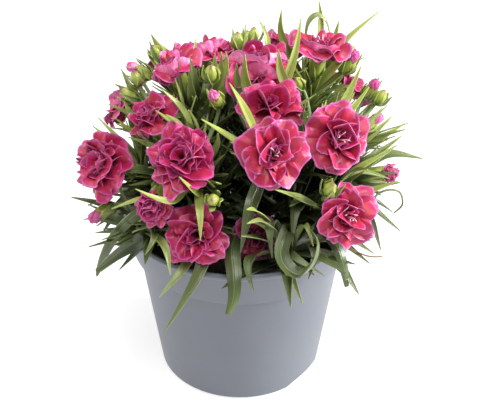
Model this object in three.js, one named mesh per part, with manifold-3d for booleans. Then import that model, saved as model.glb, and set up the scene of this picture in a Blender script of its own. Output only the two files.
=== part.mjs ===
// A potted double-flowered dianthus: a nursery pot filled with peat, flowering stems that stand in
// the peat with their calyces, leaves and buds, leafy shoots, and one ruffled bloom on each flowering
// stem. Millimetres, +Z up, origin at the centre of the pot's underside, the plant's front towards -Y.

import * as THREE from 'three';
import { mergeVertices } from 'three/addons/utils/BufferGeometryUtils.js';
import Module from 'manifold-3d';

const wasm = await Module();
wasm.setup();

const DEGREE = Math.PI / 180;
const UP = new THREE.Vector3(0, 0, 1);

// ---- Driving dimensions -------------------------------------------------------------------------

const POT_HEIGHT = 100;
const POT_FOOT_RADIUS = 44;
const POT_SHOULDER_RADIUS = 55;
const POT_BAND_RADIUS = 58;
const POT_RIM_RADIUS = 65;
const POT_BAND_HEIGHT = 24;
const POT_WALL = 1.6;
const POT_SIDES = 30;
const FOOT_CHANNEL = { inner: 22, outer: 37, height: 3 };
const DRAIN_HOLES = { count: 6, radius: 3, circle: 30, sides: 6 };
const DRAIN_NOTCHES = { azimuths: [55, 235], width: 30, height: 4.5 };

const SOIL_LEVEL = 88;
const SOIL_GAP = 0.7;
const SOIL_LUMP = 0.9;
const STEM_HOLE = { radius: 2.4, bottom: 65.6, sides: 5 };

const STEM_FOOT = 66;
const STEM_COLLAR = 91;
const STEM_RADIUS = 1.5;
const STEM_SIDES = 5;
const BRANCH_RADIUS = 1.1;
const STEM_STEPS = 5;
const FLOWER_SPREAD = 0.42;
const SHOOT_SPREAD = 0.62;
const CALYX_LENGTH = 16.5;
const BLOOM_SEAT = 2.5;

// Profiles along their own axis, as radius and height. A calyx is counted from its mouth, and a bud
// from its base.
const CALYX_CUP = [[2.6, -15], [4.2, -9], [4.1, 0], [3.2, 0], [0, -5]];
const GREEN_BUD = [[3.2, 1.5], [4.7, 6], [3.9, 10.5], [0, 13.5]];
const OPENING_BUD = [[3.2, 1.5], [4.7, 6], [3.9, 11], [3.1, 11], [0, 8]];
const BUD_TIP = [[0, 8.6], [2, 11.4], [4.2, 15], [2.6, 19], [0, 20.5]];
const BUD_MIDDLE = 7;
const BRANCH_DROP = 22;

const LEAF_KEEL = 0.9;
const LEAF_SPACING = 12.5;
const CLEARANCE = 0.3;
const ROOT_SHARE = 0.22;
const LEAF_LEAN = 1 / 65;
const SHOOT_LEAN = 1 / 80;
const BLOOM_SEED = 100;
const LEAF_SEED = 300;
const TIER_SEED = 500;

// Blooms: x, y, z of the outer petals' plane, azimuth and elevation of the face, width, form.
// Azimuth is counted from the front (-Y) towards +X.
const BLOOMS = [
  [-68, -28, 143, -55, 30, 32, 'domed'],
  [-27, -55, 162, -20, 50, 34, 'domed'],
  [-42, -57, 140, -12, 5, 24, 'half'],
  [-21, -60, 122, -5, 25, 33, 'domed'],
  [16, -56, 166, 5, 40, 37, 'open'],
  [47, -40, 165, 18, 36, 37, 'open'],
  [15, -26, 176, 10, 60, 35, 'domed'],
  [52, -54, 130, 25, 25, 34, 'open'],
  [41, 18, 183, 60, 82, 34, 'open'],
  [9, 2, 182, 0, 72, 36, 'domed'],
  [-18, 20, 180, -120, 75, 28, 'domed'],
  [-33, -4, 184, -80, 65, 28, 'domed'],
  [-45, -26, 168, -60, 55, 28, 'domed'],
  [8, -47, 112, 5, 15, 27, 'open'],
  [76, -8, 124, 80, 15, 16, 'half'],
  [58, 36, 150, 122, 35, 34, 'domed'],
  [25, 63, 140, 158, 30, 33, 'open'],
  [-11, 65, 148, 190, 38, 33, 'domed'],
  [-61, 35, 138, 240, 28, 33, 'open'],
  [22, 38, 176, 150, 62, 32, 'domed'],
  [-37, 42, 166, 222, 50, 32, 'open'],
  [-71, 6, 122, 265, 20, 30, 'domed'],
  [-37, 52, 116, 215, 15, 28, 'domed'],
];

// How a bloom's three whorls rise and spread, as parts of its radius.
const BLOOM_FORMS = {
  domed: { rise: [0.24, 0.6, 0.86], spread: [1, 0.76, 0.46] },
  open: { rise: [0.18, 0.42, 0.56], spread: [1, 0.72, 0.4] },
  half: { rise: [0.55, 0.9, 1.1], spread: [1, 0.76, 0.5] },
};
const PETAL_LOBES = 6;
const PETAL_NOTCH = 0.82;
const PETAL_RUFFLE = 0.09;

// Leafy shoots without a flower: x, y, z of the growing tip.
const SHOOTS = [
  [44, 34, 160],
  [62, 4, 140],
  [-52, -40, 112],
  [26, -48, 104],
];

// Buds: x, y, z of the bud's middle, azimuth and elevation of its point, size, green or opening.
const BUDS = [
  [-57, -9, 173, -80, 35, 1, 'green'],
  [-52, -10, 183, -60, 75, 0.8, 'green'],
  [-44, 23, 180, -60, 60, 1, 'green'],
  [-14, -22, 193, 0, 75, 1, 'green'],
  [-1, 21, 188, 200, 70, 0.9, 'green'],
  [7, 23, 190, 150, 80, 0.85, 'green'],
  [-13, -72, 151, -5, 35, 0.9, 'green'],
  [44, -60, 150, 30, 60, 0.95, 'green'],
  [74, 15, 158, 80, 60, 0.9, 'green'],
  [29, -6, 178, -60, 60, 0.8, 'green'],
  [39, 46, 163, 140, 50, 1, 'green'],
  [4, 52, 172, 180, 60, 1, 'green'],
  [-56, 48, 152, 230, 40, 0.9, 'green'],
  [-70, -36, 119, -50, -10, 1, 'opening'],
  [57, 24, 172, 80, 65, 1, 'opening'],
  [-51, 6, 177, -95, 30, 0.9, 'opening'],
  [-12, -32, 183, -20, 55, 0.9, 'opening'],
  [68, 17, 160, 60, 60, 0.9, 'opening'],
  [70, 27, 133, 110, 35, 1, 'opening'],
  [-25, 68, 128, 200, 25, 1, 'opening'],
];

// Accent leaves that stand out of the mass: the bend they pass under, their tip, and their width.
const ACCENT_LEAVES = [
  [43, 40, 186, 41, 40, 200, 4], [53, 26, 184, 72, 34, 197, 4], [27, -8, 190, 30, -2, 211, 5],
  [20, 25, 187, 21, 23, 203, 5], [16, 20, 186, 10, 26, 196, 4], [50, 42, 176, 52, 43, 187, 4],
  [48, 6, 180, 59, 14, 188, 5], [54, -8, 170, 61, -2, 185, 5], [56, -12, 164, 65, -6, 175, 4],
  [-24, -4, 186, -22, 4, 197, 4], [-24, -34, 176, -38, -34, 190, 5], [-30, -40, 172, -40, -46, 185, 5],
  [-26, -40, 172, -35, -50, 185, 6], [-54, -14, 160, -58, -13, 171, 5], [-48, -22, 156, -62, -20, 162, 5],
  [3, -44, 184, -5, -44, 199, 5], [-4, -44, 168, -18, -54, 185, 6], [19, -12, 186, 19, -13, 200, 6],
  [65, -4, 142, 79, 4, 152, 6], [67, 0, 136, 86, 8, 145, 7], [65, -8, 131, 84, 2, 141, 7],
  [63, -16, 133, 81, -8, 142, 6], [57, -24, 137, 76, -22, 147, 5], [76, 9, 128, 97, 10, 122, 7],
  [64, -22, 124, 82, -22, 128, 6], [56, -26, 141, 76, -28, 134, 5], [69, -12, 112, 81, -8, 100, 4],
  [66, -20, 114, 85, -16, 93, 5], [68, -24, 108, 74, -26, 88, 5], [53, -36, 106, 69, -40, 96, 5],
  [-16, -68, 111, -38, -78, 75, 8], [-26, -66, 108, -40, -77, 96, 6], [-5, -70, 112, -6, -80, 88, 10],
  [1, -68, 116, 7, -79, 100, 6], [46, -55, 109, 54, -66, 91, 7], [46, -40, 110, 66, -50, 97, 6],
  [5, -62, 142, 0, -66, 115, 8], [13, -62, 138, 16, -66, 112, 7], [27, -46, 134, 26, -60, 115, 7],
  [32, -54, 129, 36, -64, 118, 4], [28, -56, 142, 17, -66, 153, 5], [-19, -75, 149, -19, -80, 133, 5],
  [-19, -66, 148, -28, -78, 168, 5], [-32, -73, 148, -49, -76, 160, 5], [-44, -46, 137, -63, -56, 135, 5],
  [-46, -44, 112, -74, -43, 85, 7], [-38, -46, 122, -54, -52, 118, 5], [-40, -60, 124, -47, -66, 114, 5],
  [-44, -36, 104, -66, -44, 104, 7], [-36, -68, 124, -34, -77, 110, 5], [-62, -32, 119, -70, -40, 109, 5],
  [-48, -40, 104, -62, -46, 90, 6], [40, -54, 112, 34, -66, 99, 7], [24, -60, 111, 42, -67, 102, 5],
  [48, -52, 104, 60, -64, 88, 8], [22, -66, 110, 31, -77, 92, 7],
];

// Tiers of leaves that fill the sides and the back: their azimuths, how many, and the radius and
// height of their bends and of their tips.
const BACK_TIERS = [
  { azimuths: [98, 285], count: 14, bend: [58, 108], tip: [80, 96], width: 6.5 },
  { azimuths: [108, 275], count: 10, bend: [54, 126], tip: [76, 124], width: 6 },
];

// ---- Small tools --------------------------------------------------------------------------------

/** A repeatable stream of numbers from 0 to 1. */
function seeded(seed) {
  let state = seed >>> 0;
  return () => {
    state = (state + 0x6d2b79f5) >>> 0;
    let mixed = Math.imul(state ^ (state >>> 15), 1 | state);
    mixed = (mixed + Math.imul(mixed ^ (mixed >>> 7), 61 | mixed)) ^ mixed;
    return ((mixed ^ (mixed >>> 14)) >>> 0) / 4294967296;
  };
}

/** The unit vector with this azimuth from the front and this elevation, both in degrees. */
function heading(azimuth, elevation) {
  const level = Math.cos(elevation * DEGREE);
  const east = Math.sin(azimuth * DEGREE) * level;
  const north = -Math.cos(azimuth * DEGREE) * level;
  return new THREE.Vector3(east, north, Math.sin(elevation * DEGREE));
}

/** Turns a closed geometry into a solid, with its seams and poles welded and its faces outwards. */
function solidOf(geometry) {
  const bare = new THREE.BufferGeometry();
  bare.setAttribute('position', geometry.getAttribute('position'));
  bare.setIndex(geometry.getIndex());
  const welded = mergeVertices(bare, 1e-4);
  const points = welded.getAttribute('position').array;
  const corners = welded.getIndex().array;
  const faces = [];
  let volume = 0;
  for (let i = 0; i < corners.length; i += 3) {
    const [a, b, c] = [corners[i], corners[i + 1], corners[i + 2]];
    if (a === b || b === c || c === a) continue;
    faces.push(a, b, c);
    const [pa, pb, pc] = [a, b, c].map((corner) => new THREE.Vector3().fromArray(points, corner * 3));
    volume += pa.dot(pb.cross(pc));
  }
  if (volume < 0) faces.reverse();
  const mesh = new wasm.Mesh({
    numProp: 3,
    vertProperties: new Float32Array(points),
    triVerts: new Uint32Array(faces),
  });
  return new wasm.Manifold(mesh);
}

function geometryOf(solid) {
  const mesh = solid.getMesh();
  const geometry = new THREE.BufferGeometry();
  geometry.setAttribute('position', new THREE.BufferAttribute(new Float32Array(mesh.vertProperties), 3));
  geometry.setIndex(new THREE.BufferAttribute(new Uint32Array(mesh.triVerts), 1));
  geometry.computeVertexNormals();
  return geometry;
}

/** A solid turned about its own axis from a profile of radius and height pairs. */
function turned(profile, sides) {
  const points = profile.map(([radius, height]) => new THREE.Vector2(radius, height));
  const geometry = new THREE.LatheGeometry(points, sides);
  geometry.rotateX(90 * DEGREE);
  return geometry;
}

/** The matrix that stands a turned shape at a place, with its axis along a direction. */
function standing(place, direction) {
  const turn = new THREE.Quaternion().setFromUnitVectors(UP, direction);
  return new THREE.Matrix4().compose(place, turn, new THREE.Vector3(1, 1, 1));
}

/** A closed limb through rings of place, tangent and radius, with a flat side across. */
function limb(rings, sides, across) {
  const geometry = turned(rings.map((ring, level) => [ring.radius, level]), sides);
  const position = geometry.getAttribute('position');
  rings.forEach(({ place, tangent, radius }, level) => {
    const side = across.clone().addScaledVector(tangent, -across.dot(tangent)).normalize();
    const face = new THREE.Vector3().crossVectors(tangent, side);
    for (let column = 0; column <= sides; column++) {
      const angle = ((column % sides) / sides) * 360 * DEGREE;
      const point = place.clone().addScaledVector(side, radius * Math.cos(angle));
      point.addScaledVector(face, radius * Math.sin(angle));
      position.setXYZ(column * rings.length + level, point.x, point.y, point.z);
    }
  });
  return geometry;
}

// ---- Pot and soil -------------------------------------------------------------------------------

const shoulderHeight = POT_HEIGHT - POT_BAND_HEIGHT;
const wallSlope = (POT_SHOULDER_RADIUS - POT_FOOT_RADIUS) / shoulderHeight;
const floorTop = FOOT_CHANNEL.height + POT_WALL;

function makePot() {
  const profile = [
    [0, 0],
    [FOOT_CHANNEL.inner, 0],
    [FOOT_CHANNEL.inner + 1.5, FOOT_CHANNEL.height],
    [FOOT_CHANNEL.outer, FOOT_CHANNEL.height],
    [FOOT_CHANNEL.outer + 1.5, 0],
    [POT_FOOT_RADIUS - 1.6, 0],
    [POT_FOOT_RADIUS, 1.4],
    [POT_SHOULDER_RADIUS, shoulderHeight],
    [POT_BAND_RADIUS, shoulderHeight + 0.6],
    [POT_RIM_RADIUS - 0.4, POT_HEIGHT - 0.8],
    [POT_RIM_RADIUS - 1, POT_HEIGHT],
    [POT_RIM_RADIUS - POT_WALL - 0.6, POT_HEIGHT - 0.6],
    [POT_BAND_RADIUS - POT_WALL, shoulderHeight + 2.4],
    [POT_SHOULDER_RADIUS - POT_WALL, shoulderHeight - 0.6],
    [POT_FOOT_RADIUS - POT_WALL + wallSlope * 6, 6],
    [POT_FOOT_RADIUS - POT_WALL - 1.4, floorTop],
    [0, floorTop],
  ];
  let pot = solidOf(turned(profile, POT_SIDES));
  for (let hole = 0; hole < DRAIN_HOLES.count; hole++) {
    const azimuth = (360 / DRAIN_HOLES.count) * (hole + 0.5);
    const drill = new THREE.CylinderGeometry(DRAIN_HOLES.radius, DRAIN_HOLES.radius, 12, DRAIN_HOLES.sides);
    drill.rotateX(90 * DEGREE);
    const place = heading(azimuth, 0).multiplyScalar(DRAIN_HOLES.circle);
    drill.translate(place.x, place.y, place.z);
    pot = pot.subtract(solidOf(drill));
  }
  for (const azimuth of DRAIN_NOTCHES.azimuths) {
    const arch = new THREE.Shape();
    arch.absellipse(0, 0, DRAIN_NOTCHES.width / 2, DRAIN_NOTCHES.height, 0, 180 * DEGREE, false, 0);
    arch.lineTo(-DRAIN_NOTCHES.width / 2, -1);
    arch.lineTo(DRAIN_NOTCHES.width / 2, -1);
    const cutter = new THREE.ExtrudeGeometry(arch, { depth: 12, bevelEnabled: false, curveSegments: 4 });
    cutter.rotateX(90 * DEGREE);
    cutter.translate(0, -(POT_FOOT_RADIUS - 7.5), 0);
    cutter.rotateZ(azimuth * DEGREE);
    pot = pot.subtract(solidOf(cutter));
  }
  return pot;
}

/** The radius of the peat where it meets the pot's wall at a height. */
function peatRadius(height) {
  if (height < shoulderHeight) {
    return POT_FOOT_RADIUS - POT_WALL - SOIL_GAP + wallSlope * (height - 1);
  }
  const flare = (POT_RIM_RADIUS - POT_BAND_RADIUS - 0.6) / (POT_BAND_HEIGHT - 2.8);
  return POT_BAND_RADIUS - POT_WALL - SOIL_GAP - 0.2 + flare * (height - shoulderHeight - 2.4);
}

function makeSoil(feet) {
  const edge = SOIL_LEVEL - 2;
  const profile = [
    [0, floorTop + SOIL_GAP],
    [POT_FOOT_RADIUS - POT_WALL - 2.2, floorTop + SOIL_GAP],
    [peatRadius(7.5) - 0.4, 7.5],
    [peatRadius(shoulderHeight - 1) - 0.3, shoulderHeight - 1],
    [peatRadius(shoulderHeight + 3), shoulderHeight + 3],
    [peatRadius(edge), edge],
    [48, SOIL_LEVEL - 0.6],
    [34, SOIL_LEVEL],
    [18, SOIL_LEVEL],
    [0, SOIL_LEVEL],
  ];
  const geometry = turned(profile, POT_SIDES);
  const position = geometry.getAttribute('position');
  for (let i = 0; i < position.count; i++) {
    const [x, y, z] = [position.getX(i), position.getY(i), position.getZ(i)];
    if (z < edge) continue;
    position.setZ(i, z + SOIL_LUMP * (Math.sin(x * 0.31 + y * 0.17) + Math.cos(y * 0.37 - x * 0.11)) - 0.5);
  }
  let soil = solidOf(geometry);
  const depth = SOIL_LEVEL + 4 - STEM_HOLE.bottom;
  for (const foot of feet) {
    const drill = new THREE.CylinderGeometry(STEM_HOLE.radius, STEM_HOLE.radius, depth, STEM_HOLE.sides);
    drill.rotateX(90 * DEGREE);
    drill.translate(foot.x, foot.y, STEM_HOLE.bottom + depth / 2);
    soil = soil.subtract(solidOf(drill));
  }
  return soil;
}

// ---- Blooms -------------------------------------------------------------------------------------

/**
 * A bloom in one skin: from its claw out to the edge of the outer whorl, back into the valley above
 * it, out to the middle whorl's edge, and so on to the heart. Each edge is notched between its lobes
 * and ruffled. Heights are counted from the calyx mouth along the bloom's axis.
 */
function makeBloom(width, formName, random) {
  const radius = width / 2;
  const form = BLOOM_FORMS[formName];
  const rises = form.rise.map((rise) => rise * radius + 1);
  const edge = (whorl) => ({ whorl, radius: form.spread[whorl] * radius, height: rises[whorl] });
  const rings = [
    { radius: 0, height: -4 },
    { radius: 2.2, height: 0.8 },
    edge(0),
    { radius: 3.6, height: 3.2 },
    edge(1),
    { radius: 2.8, height: 3.4 + 0.25 * rises[1] },
    edge(2),
    { radius: 0, height: 4 + 0.4 * rises[2] },
  ];
  const geometry = turned(rings.map((ring) => [ring.radius, ring.height]), PETAL_LOBES * 3);
  const position = geometry.getAttribute('position');
  const columns = PETAL_LOBES * 3;
  rings.forEach((ring, level) => {
    if (ring.whorl === undefined) return;
    const shift = [0, 2, 1][ring.whorl];
    for (let column = 0; column < columns; column++) {
      const side = (column + shift) % 3;
      const reach = ring.radius * (side === 0 ? PETAL_NOTCH : 0.97 + 0.08 * random());
      const wave = [0.2, -1, 1][side] * PETAL_RUFFLE * radius * (0.6 + 0.8 * random());
      const angle = ((column + [0, -0.25, 0.25][side]) / columns) * 360 * DEGREE;
      const [x, y, z] = [reach * Math.sin(angle), -reach * Math.cos(angle), ring.height + wave];
      position.setXYZ(column * rings.length + level, x, y, z);
      if (column === 0) position.setXYZ(columns * rings.length + level, x, y, z);
    }
  });
  return solidOf(geometry);
}

// ---- Stems, calyces and buds --------------------------------------------------------------------

/** Where a stem that ends at a place leaves the soil: the more it leans, the wider it starts. */
function footOf(place, spread) {
  const lean = Math.atan2(Math.hypot(place.x, place.y), place.z - SOIL_LEVEL + 3) / DEGREE;
  const level = new THREE.Vector3(place.x, place.y, 0).normalize();
  return level.multiplyScalar(spread * lean);
}

/** The free part of a stem: straight up out of the soil, then over into its end's direction. */
function stemCurve(end, direction, spread) {
  const collar = footOf(end, spread).setZ(STEM_COLLAR);
  const span = end.distanceTo(collar);
  const lower = collar.clone().addScaledVector(UP, span * 0.45);
  const upper = end.clone().addScaledVector(direction, -span * 0.3);
  return new THREE.CubicBezierCurve3(collar, lower, upper, end);
}

/** The rings of a stem, from its foot in the peat to the end of its curve. */
function stemRings(curve) {
  const foot = curve.v0.clone().setZ(STEM_FOOT);
  const rings = [
    { place: foot, tangent: UP, radius: 0 },
    { place: foot, tangent: UP, radius: STEM_RADIUS },
  ];
  for (let step = 0; step <= STEM_STEPS; step++) {
    const along = step / STEM_STEPS;
    rings.push({ place: curve.getPoint(along), tangent: curve.getTangent(along), radius: STEM_RADIUS });
  }
  return rings;
}

/** The rings of a profile that stands on a place along a direction. */
function ringsOn(profile, place, direction) {
  return profile.map(([radius, height]) => {
    return { place: place.clone().addScaledVector(direction, height), tangent: direction, radius };
  });
}

function scaled(profile, size) {
  return profile.map(([radius, height]) => [radius * size, height * size]);
}

/** A bud's branch leaves its stem upwards and ends in the bud's own direction. */
function branchRings(from, to, direction) {
  const span = from.distanceTo(to);
  const lower = from.clone().addScaledVector(UP, span * 0.35);
  const upper = to.clone().addScaledVector(direction, -span * 0.35);
  const curve = new THREE.CubicBezierCurve3(from, lower, upper, to);
  const rings = [0, 0.5, 1].map((along) => {
    return { place: curve.getPoint(along), tangent: curve.getTangent(along), radius: BRANCH_RADIUS };
  });
  return [{ ...rings[0], radius: 0 }, ...rings];
}

/** The nearest stem to a place, and how far along it the nearest point lies. */
function nearestStem(stems, place, rank = 0) {
  const found = stems.map((stem) => {
    let best = { stem, along: 0, distance: Infinity };
    for (let along = 0.1; along <= 0.9; along += 0.05) {
      const distance = stem.curve.getPoint(along).distanceTo(place);
      if (distance < best.distance) best = { stem, along, distance };
    }
    return best;
  });
  found.sort((a, b) => a.distance - b.distance);
  return found[rank];
}

// ---- Leaves -------------------------------------------------------------------------------------

/** A lance-shaped blade, flat above and keeled below, from its root, under a bend, to its tip. */
function leafBlade({ root, bend, tip, across }, width, rings, spare = 0) {
  const geometry = new THREE.SphereGeometry(1, 3, rings + 1);
  const position = geometry.getAttribute('position');
  const midrib = new THREE.CubicBezierCurve3(root, bend, bend, tip);
  for (let i = 0; i < position.count; i++) {
    const along = Math.floor(i / 4) / (rings + 1);
    const place = midrib.getPoint(along);
    if (along > 0 && along < 1) {
      const tangent = midrib.getTangent(along);
      const side = across.clone().addScaledVector(tangent, -across.dot(tangent)).normalize();
      const face = new THREE.Vector3().crossVectors(side, tangent);
      const reach = 0.5 * width * Math.sin(Math.PI * along ** 0.7) ** 0.8 + 2 * spare;
      const [edge, depth] = [[-1, 0], [0, 1], [1, 0], [-1, 0]][i % 4];
      place.addScaledVector(side, edge * reach);
      place.addScaledVector(face, spare - depth * (LEAF_KEEL + 2 * spare));
    }
    position.setXYZ(i, place.x, place.y, place.z);
  }
  return geometry;
}

/** The part of a leaf's course beyond a fraction of its length. */
function beyond({ root, bend, tip, across }, part) {
  const start = new THREE.CubicBezierCurve3(root, bend, bend, tip).getPoint(part);
  return { root: start, bend: bend.clone().lerp(tip, 0.5 * part), tip, across };
}

/** The leaves of a stem, in crossed pairs: long and spreading low down, shorter and steeper above. */
function pairedLeaves(stem, random) {
  const leaves = [];
  const pairs = Math.max(3, Math.round(stem.curve.getLength() / LEAF_SPACING));
  const first = random() * 90;
  for (let pair = 0; pair < pairs; pair++) {
    const along = 0.03 + (0.88 * pair) / pairs;
    const root = stem.curve.getPoint(along);
    const low = THREE.MathUtils.clamp((130 - root.z) / 35, 0, 1);
    for (const opposite of [0, 180]) {
      const azimuth = first + pair * 90 + opposite + (random() - 0.5) * 40;
      const lift = 34 - 16 * low + 20 * random();
      const reach = (33 + 17 * low) * (0.8 + 0.4 * random());
      const width = 5 + 2.6 * random();
      const droop = 0.1 + 0.45 * random();
      leaves.push({ root, azimuth, lift, reach, width, droop });
    }
  }
  return leaves;
}

/** A paired leaf's course: out along its lift, then over by its droop, leaning out of the plant. */
function leafCourse({ root, azimuth, lift, reach, droop }) {
  const outwards = new THREE.Vector3(root.x, root.y, 0).multiplyScalar(LEAF_LEAN);
  const direction = heading(azimuth, lift).add(outwards).normalize();
  const bend = root.clone().addScaledVector(direction, reach * 0.5);
  const tip = root.clone().addScaledVector(direction, reach * 0.97);
  tip.z -= droop * reach * 0.5;
  return { root, bend, tip, across: new THREE.Vector3(-direction.y, direction.x, 0).normalize() };
}

/** An accent leaf's course, from the stem that passes nearest to its bend. */
function accentCourse(root, bend, tip) {
  const towards = new THREE.Vector3(0, -0.45, 0.9);
  const across = new THREE.Vector3().subVectors(tip, bend).cross(towards).normalize();
  return { root, bend, tip, across };
}

// ---- Growing the plant --------------------------------------------------------------------------

const two = (number) => String(number).padStart(2, '0');
const paint = (color, roughness) => new THREE.MeshStandardMaterial({ color, roughness, metalness: 0 });
const PAINTS = {
  pot: paint(0x8c92a0, 0.45),
  soil: paint(0x2a201a, 1),
  petals: paint(0xc2245c, 0.7),
  leaves: paint(0x5f7f3c, 0.5),
  tip: paint(0xd65a94, 0.6),
};

const plant = new THREE.Group();
plant.name = 'potted_dianthus';
const taken = [];

function addNode(name, solid, material, matrix = new THREE.Matrix4()) {
  const mesh = new THREE.Mesh(geometryOf(solid), material);
  mesh.name = name;
  mesh.applyMatrix4(matrix);
  plant.add(mesh);
}

/** Remembers where a node has a solid, so that what grows later keeps clear of it. */
function occupy(name, solid) {
  taken.push({ name, solid, box: solid.boundingBox() });
}

function apart(a, b) {
  return [0, 1, 2].some((axis) => a.min[axis] > b.max[axis] || b.min[axis] > a.max[axis]);
}

function isClear(solid, isOther) {
  const box = solid.boundingBox();
  return taken.every((other) => {
    if (!isOther(other.name) || apart(box, other.box)) return true;
    return solid.intersect(other.solid).isEmpty();
  });
}

/** Grows the first of a leaf's courses that keeps clear of all but the stem it is rooted in. */
function growLeaf(choices, width, rings) {
  for (const { stem, course } of choices) {
    const whole = solidOf(leafBlade(course, width, rings, CLEARANCE));
    if (!isClear(whole, (name) => name !== stem.name)) continue;
    const free = solidOf(leafBlade(beyond(course, ROOT_SHARE), width, 1));
    if (!isClear(free, (name) => name === stem.name)) continue;
    const blade = solidOf(leafBlade(course, width, rings));
    stem.pieces.push(blade);
    occupy(stem.name, blade);
    return;
  }
}

const stems = BLOOMS.map(([x, y, z, azimuth, elevation, width, form], i) => {
  const face = heading(azimuth, elevation);
  const mouth = new THREE.Vector3(x, y, z).addScaledVector(face, -BLOOM_SEAT);
  const curve = stemCurve(mouth.clone().addScaledVector(face, -CALYX_LENGTH), face, FLOWER_SPREAD);
  const seat = standing(mouth, face);
  const bloom = makeBloom(width, form, seeded(BLOOM_SEED + i));
  addNode(`bloom_${two(i + 1)}`, bloom, PAINTS.petals, seat);
  occupy(`bloom_${two(i + 1)}`, bloom.transform(seat.elements));
  const rings = [...stemRings(curve), ...ringsOn(CALYX_CUP, mouth, face)];
  const across = heading(Math.atan2(x, -y) / DEGREE + 90, 0);
  return { name: `flower_stem_${two(i + 1)}`, curve, pieces: [solidOf(limb(rings, STEM_SIDES, across))] };
});

SHOOTS.forEach(([x, y, z], i) => {
  const end = new THREE.Vector3(x, y, z);
  const lean = new THREE.Vector3(x, y, 0).multiplyScalar(SHOOT_LEAN).add(UP).normalize();
  const curve = stemCurve(end, lean, SHOOT_SPREAD);
  const rings = [...stemRings(curve), ...ringsOn([[0, 2]], end, lean)];
  const across = heading(Math.atan2(x, -y) / DEGREE + 90, 0);
  stems.push({ name: `leafy_shoot_${i + 1}`, curve, pieces: [solidOf(limb(rings, STEM_SIDES, across))] });
});

let tipCount = 0;
for (const [x, y, z, azimuth, elevation, size, state] of BUDS) {
  const direction = heading(azimuth, elevation);
  const base = new THREE.Vector3(x, y, z).addScaledVector(direction, -BUD_MIDDLE * size);
  const { stem, along } = nearestStem(stems, base.clone().addScaledVector(UP, -BRANCH_DROP));
  const seat = standing(base, direction);
  const profile = state === 'green' ? GREEN_BUD : OPENING_BUD;
  const branch = branchRings(stem.curve.getPoint(along), base, direction);
  const rings = [...branch, ...ringsOn(scaled(profile, size), base, direction)];
  stem.pieces.push(solidOf(limb(rings, STEM_SIDES, heading(azimuth + 90, 0))));
  if (state === 'opening') {
    tipCount += 1;
    const tip = solidOf(turned(scaled(BUD_TIP, size), STEM_SIDES));
    addNode(`bud_tip_${tipCount}`, tip, PAINTS.tip, seat);
    occupy(`bud_tip_${tipCount}`, tip.transform(seat.elements));
  }
}

const pot = makePot();
const soil = makeSoil(stems.map((stem) => stem.curve.v0));
addNode('pot', pot, PAINTS.pot);
addNode('soil', soil, PAINTS.soil);
occupy('pot', pot);
occupy('soil', soil);
for (const stem of stems) {
  stem.pieces.forEach((piece) => occupy(stem.name, piece));
}

/** Grows a leaf that passes under a bend to a tip, from a stem near that bend. */
function growAccent(bend, tip, width) {
  const choices = [];
  for (let rank = 0; rank < 3; rank++) {
    for (const drop of [12, 4, 20]) {
      const { stem, along } = nearestStem(stems, bend.clone().addScaledVector(UP, -drop), rank);
      choices.push({ stem, course: accentCourse(stem.curve.getPoint(along), bend, tip) });
    }
  }
  growLeaf(choices, width, 2);
}

for (const [bx, by, bz, tx, ty, tz, width] of ACCENT_LEAVES) {
  growAccent(new THREE.Vector3(bx, by, bz), new THREE.Vector3(tx, ty, tz), width);
}

BACK_TIERS.forEach(({ azimuths: [from, to], count, bend, tip, width }, i) => {
  const random = seeded(TIER_SEED + i);
  for (let leaf = 0; leaf < count; leaf++) {
    const azimuth = from + ((to - from) * leaf) / (count - 1) + (random() - 0.5) * 8;
    const swing = (random() - 0.5) * 24;
    const under = heading(azimuth, 0).multiplyScalar(bend[0]).setZ(bend[1] + (random() - 0.5) * 10);
    const end = heading(azimuth + swing, 0).multiplyScalar(tip[0] + (random() - 0.5) * 8);
    growAccent(under, end.setZ(tip[1] + (random() - 0.5) * 16), width);
  }
});

// A paired leaf that has no room is swung, raised or lowered, as degrees and parts of its length.
const DODGES = [[0, 0, 1], [25, 0, 1], [-25, 0, 1], [0, 14, 0.85], [0, -14, 0.85], [50, 8, 0.7]];

stems.forEach((stem, i) => {
  for (const leaf of pairedLeaves(stem, seeded(LEAF_SEED + i))) {
    const choices = DODGES.map(([swing, raise, part]) => {
      const { azimuth, lift, reach } = leaf;
      const moved = { ...leaf, azimuth: azimuth + swing, lift: lift + raise, reach: reach * part };
      return { stem, course: leafCourse(moved) };
    });
    growLeaf(choices, leaf.width, 1);
  }
});

for (const stem of stems) {
  addNode(stem.name, stem.pieces.reduce((joined, piece) => joined.add(piece)), PAINTS.leaves);
}

export default plant;
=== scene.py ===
import math

import bmesh
import bpy
from mathutils import Matrix, Vector, noise


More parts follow.
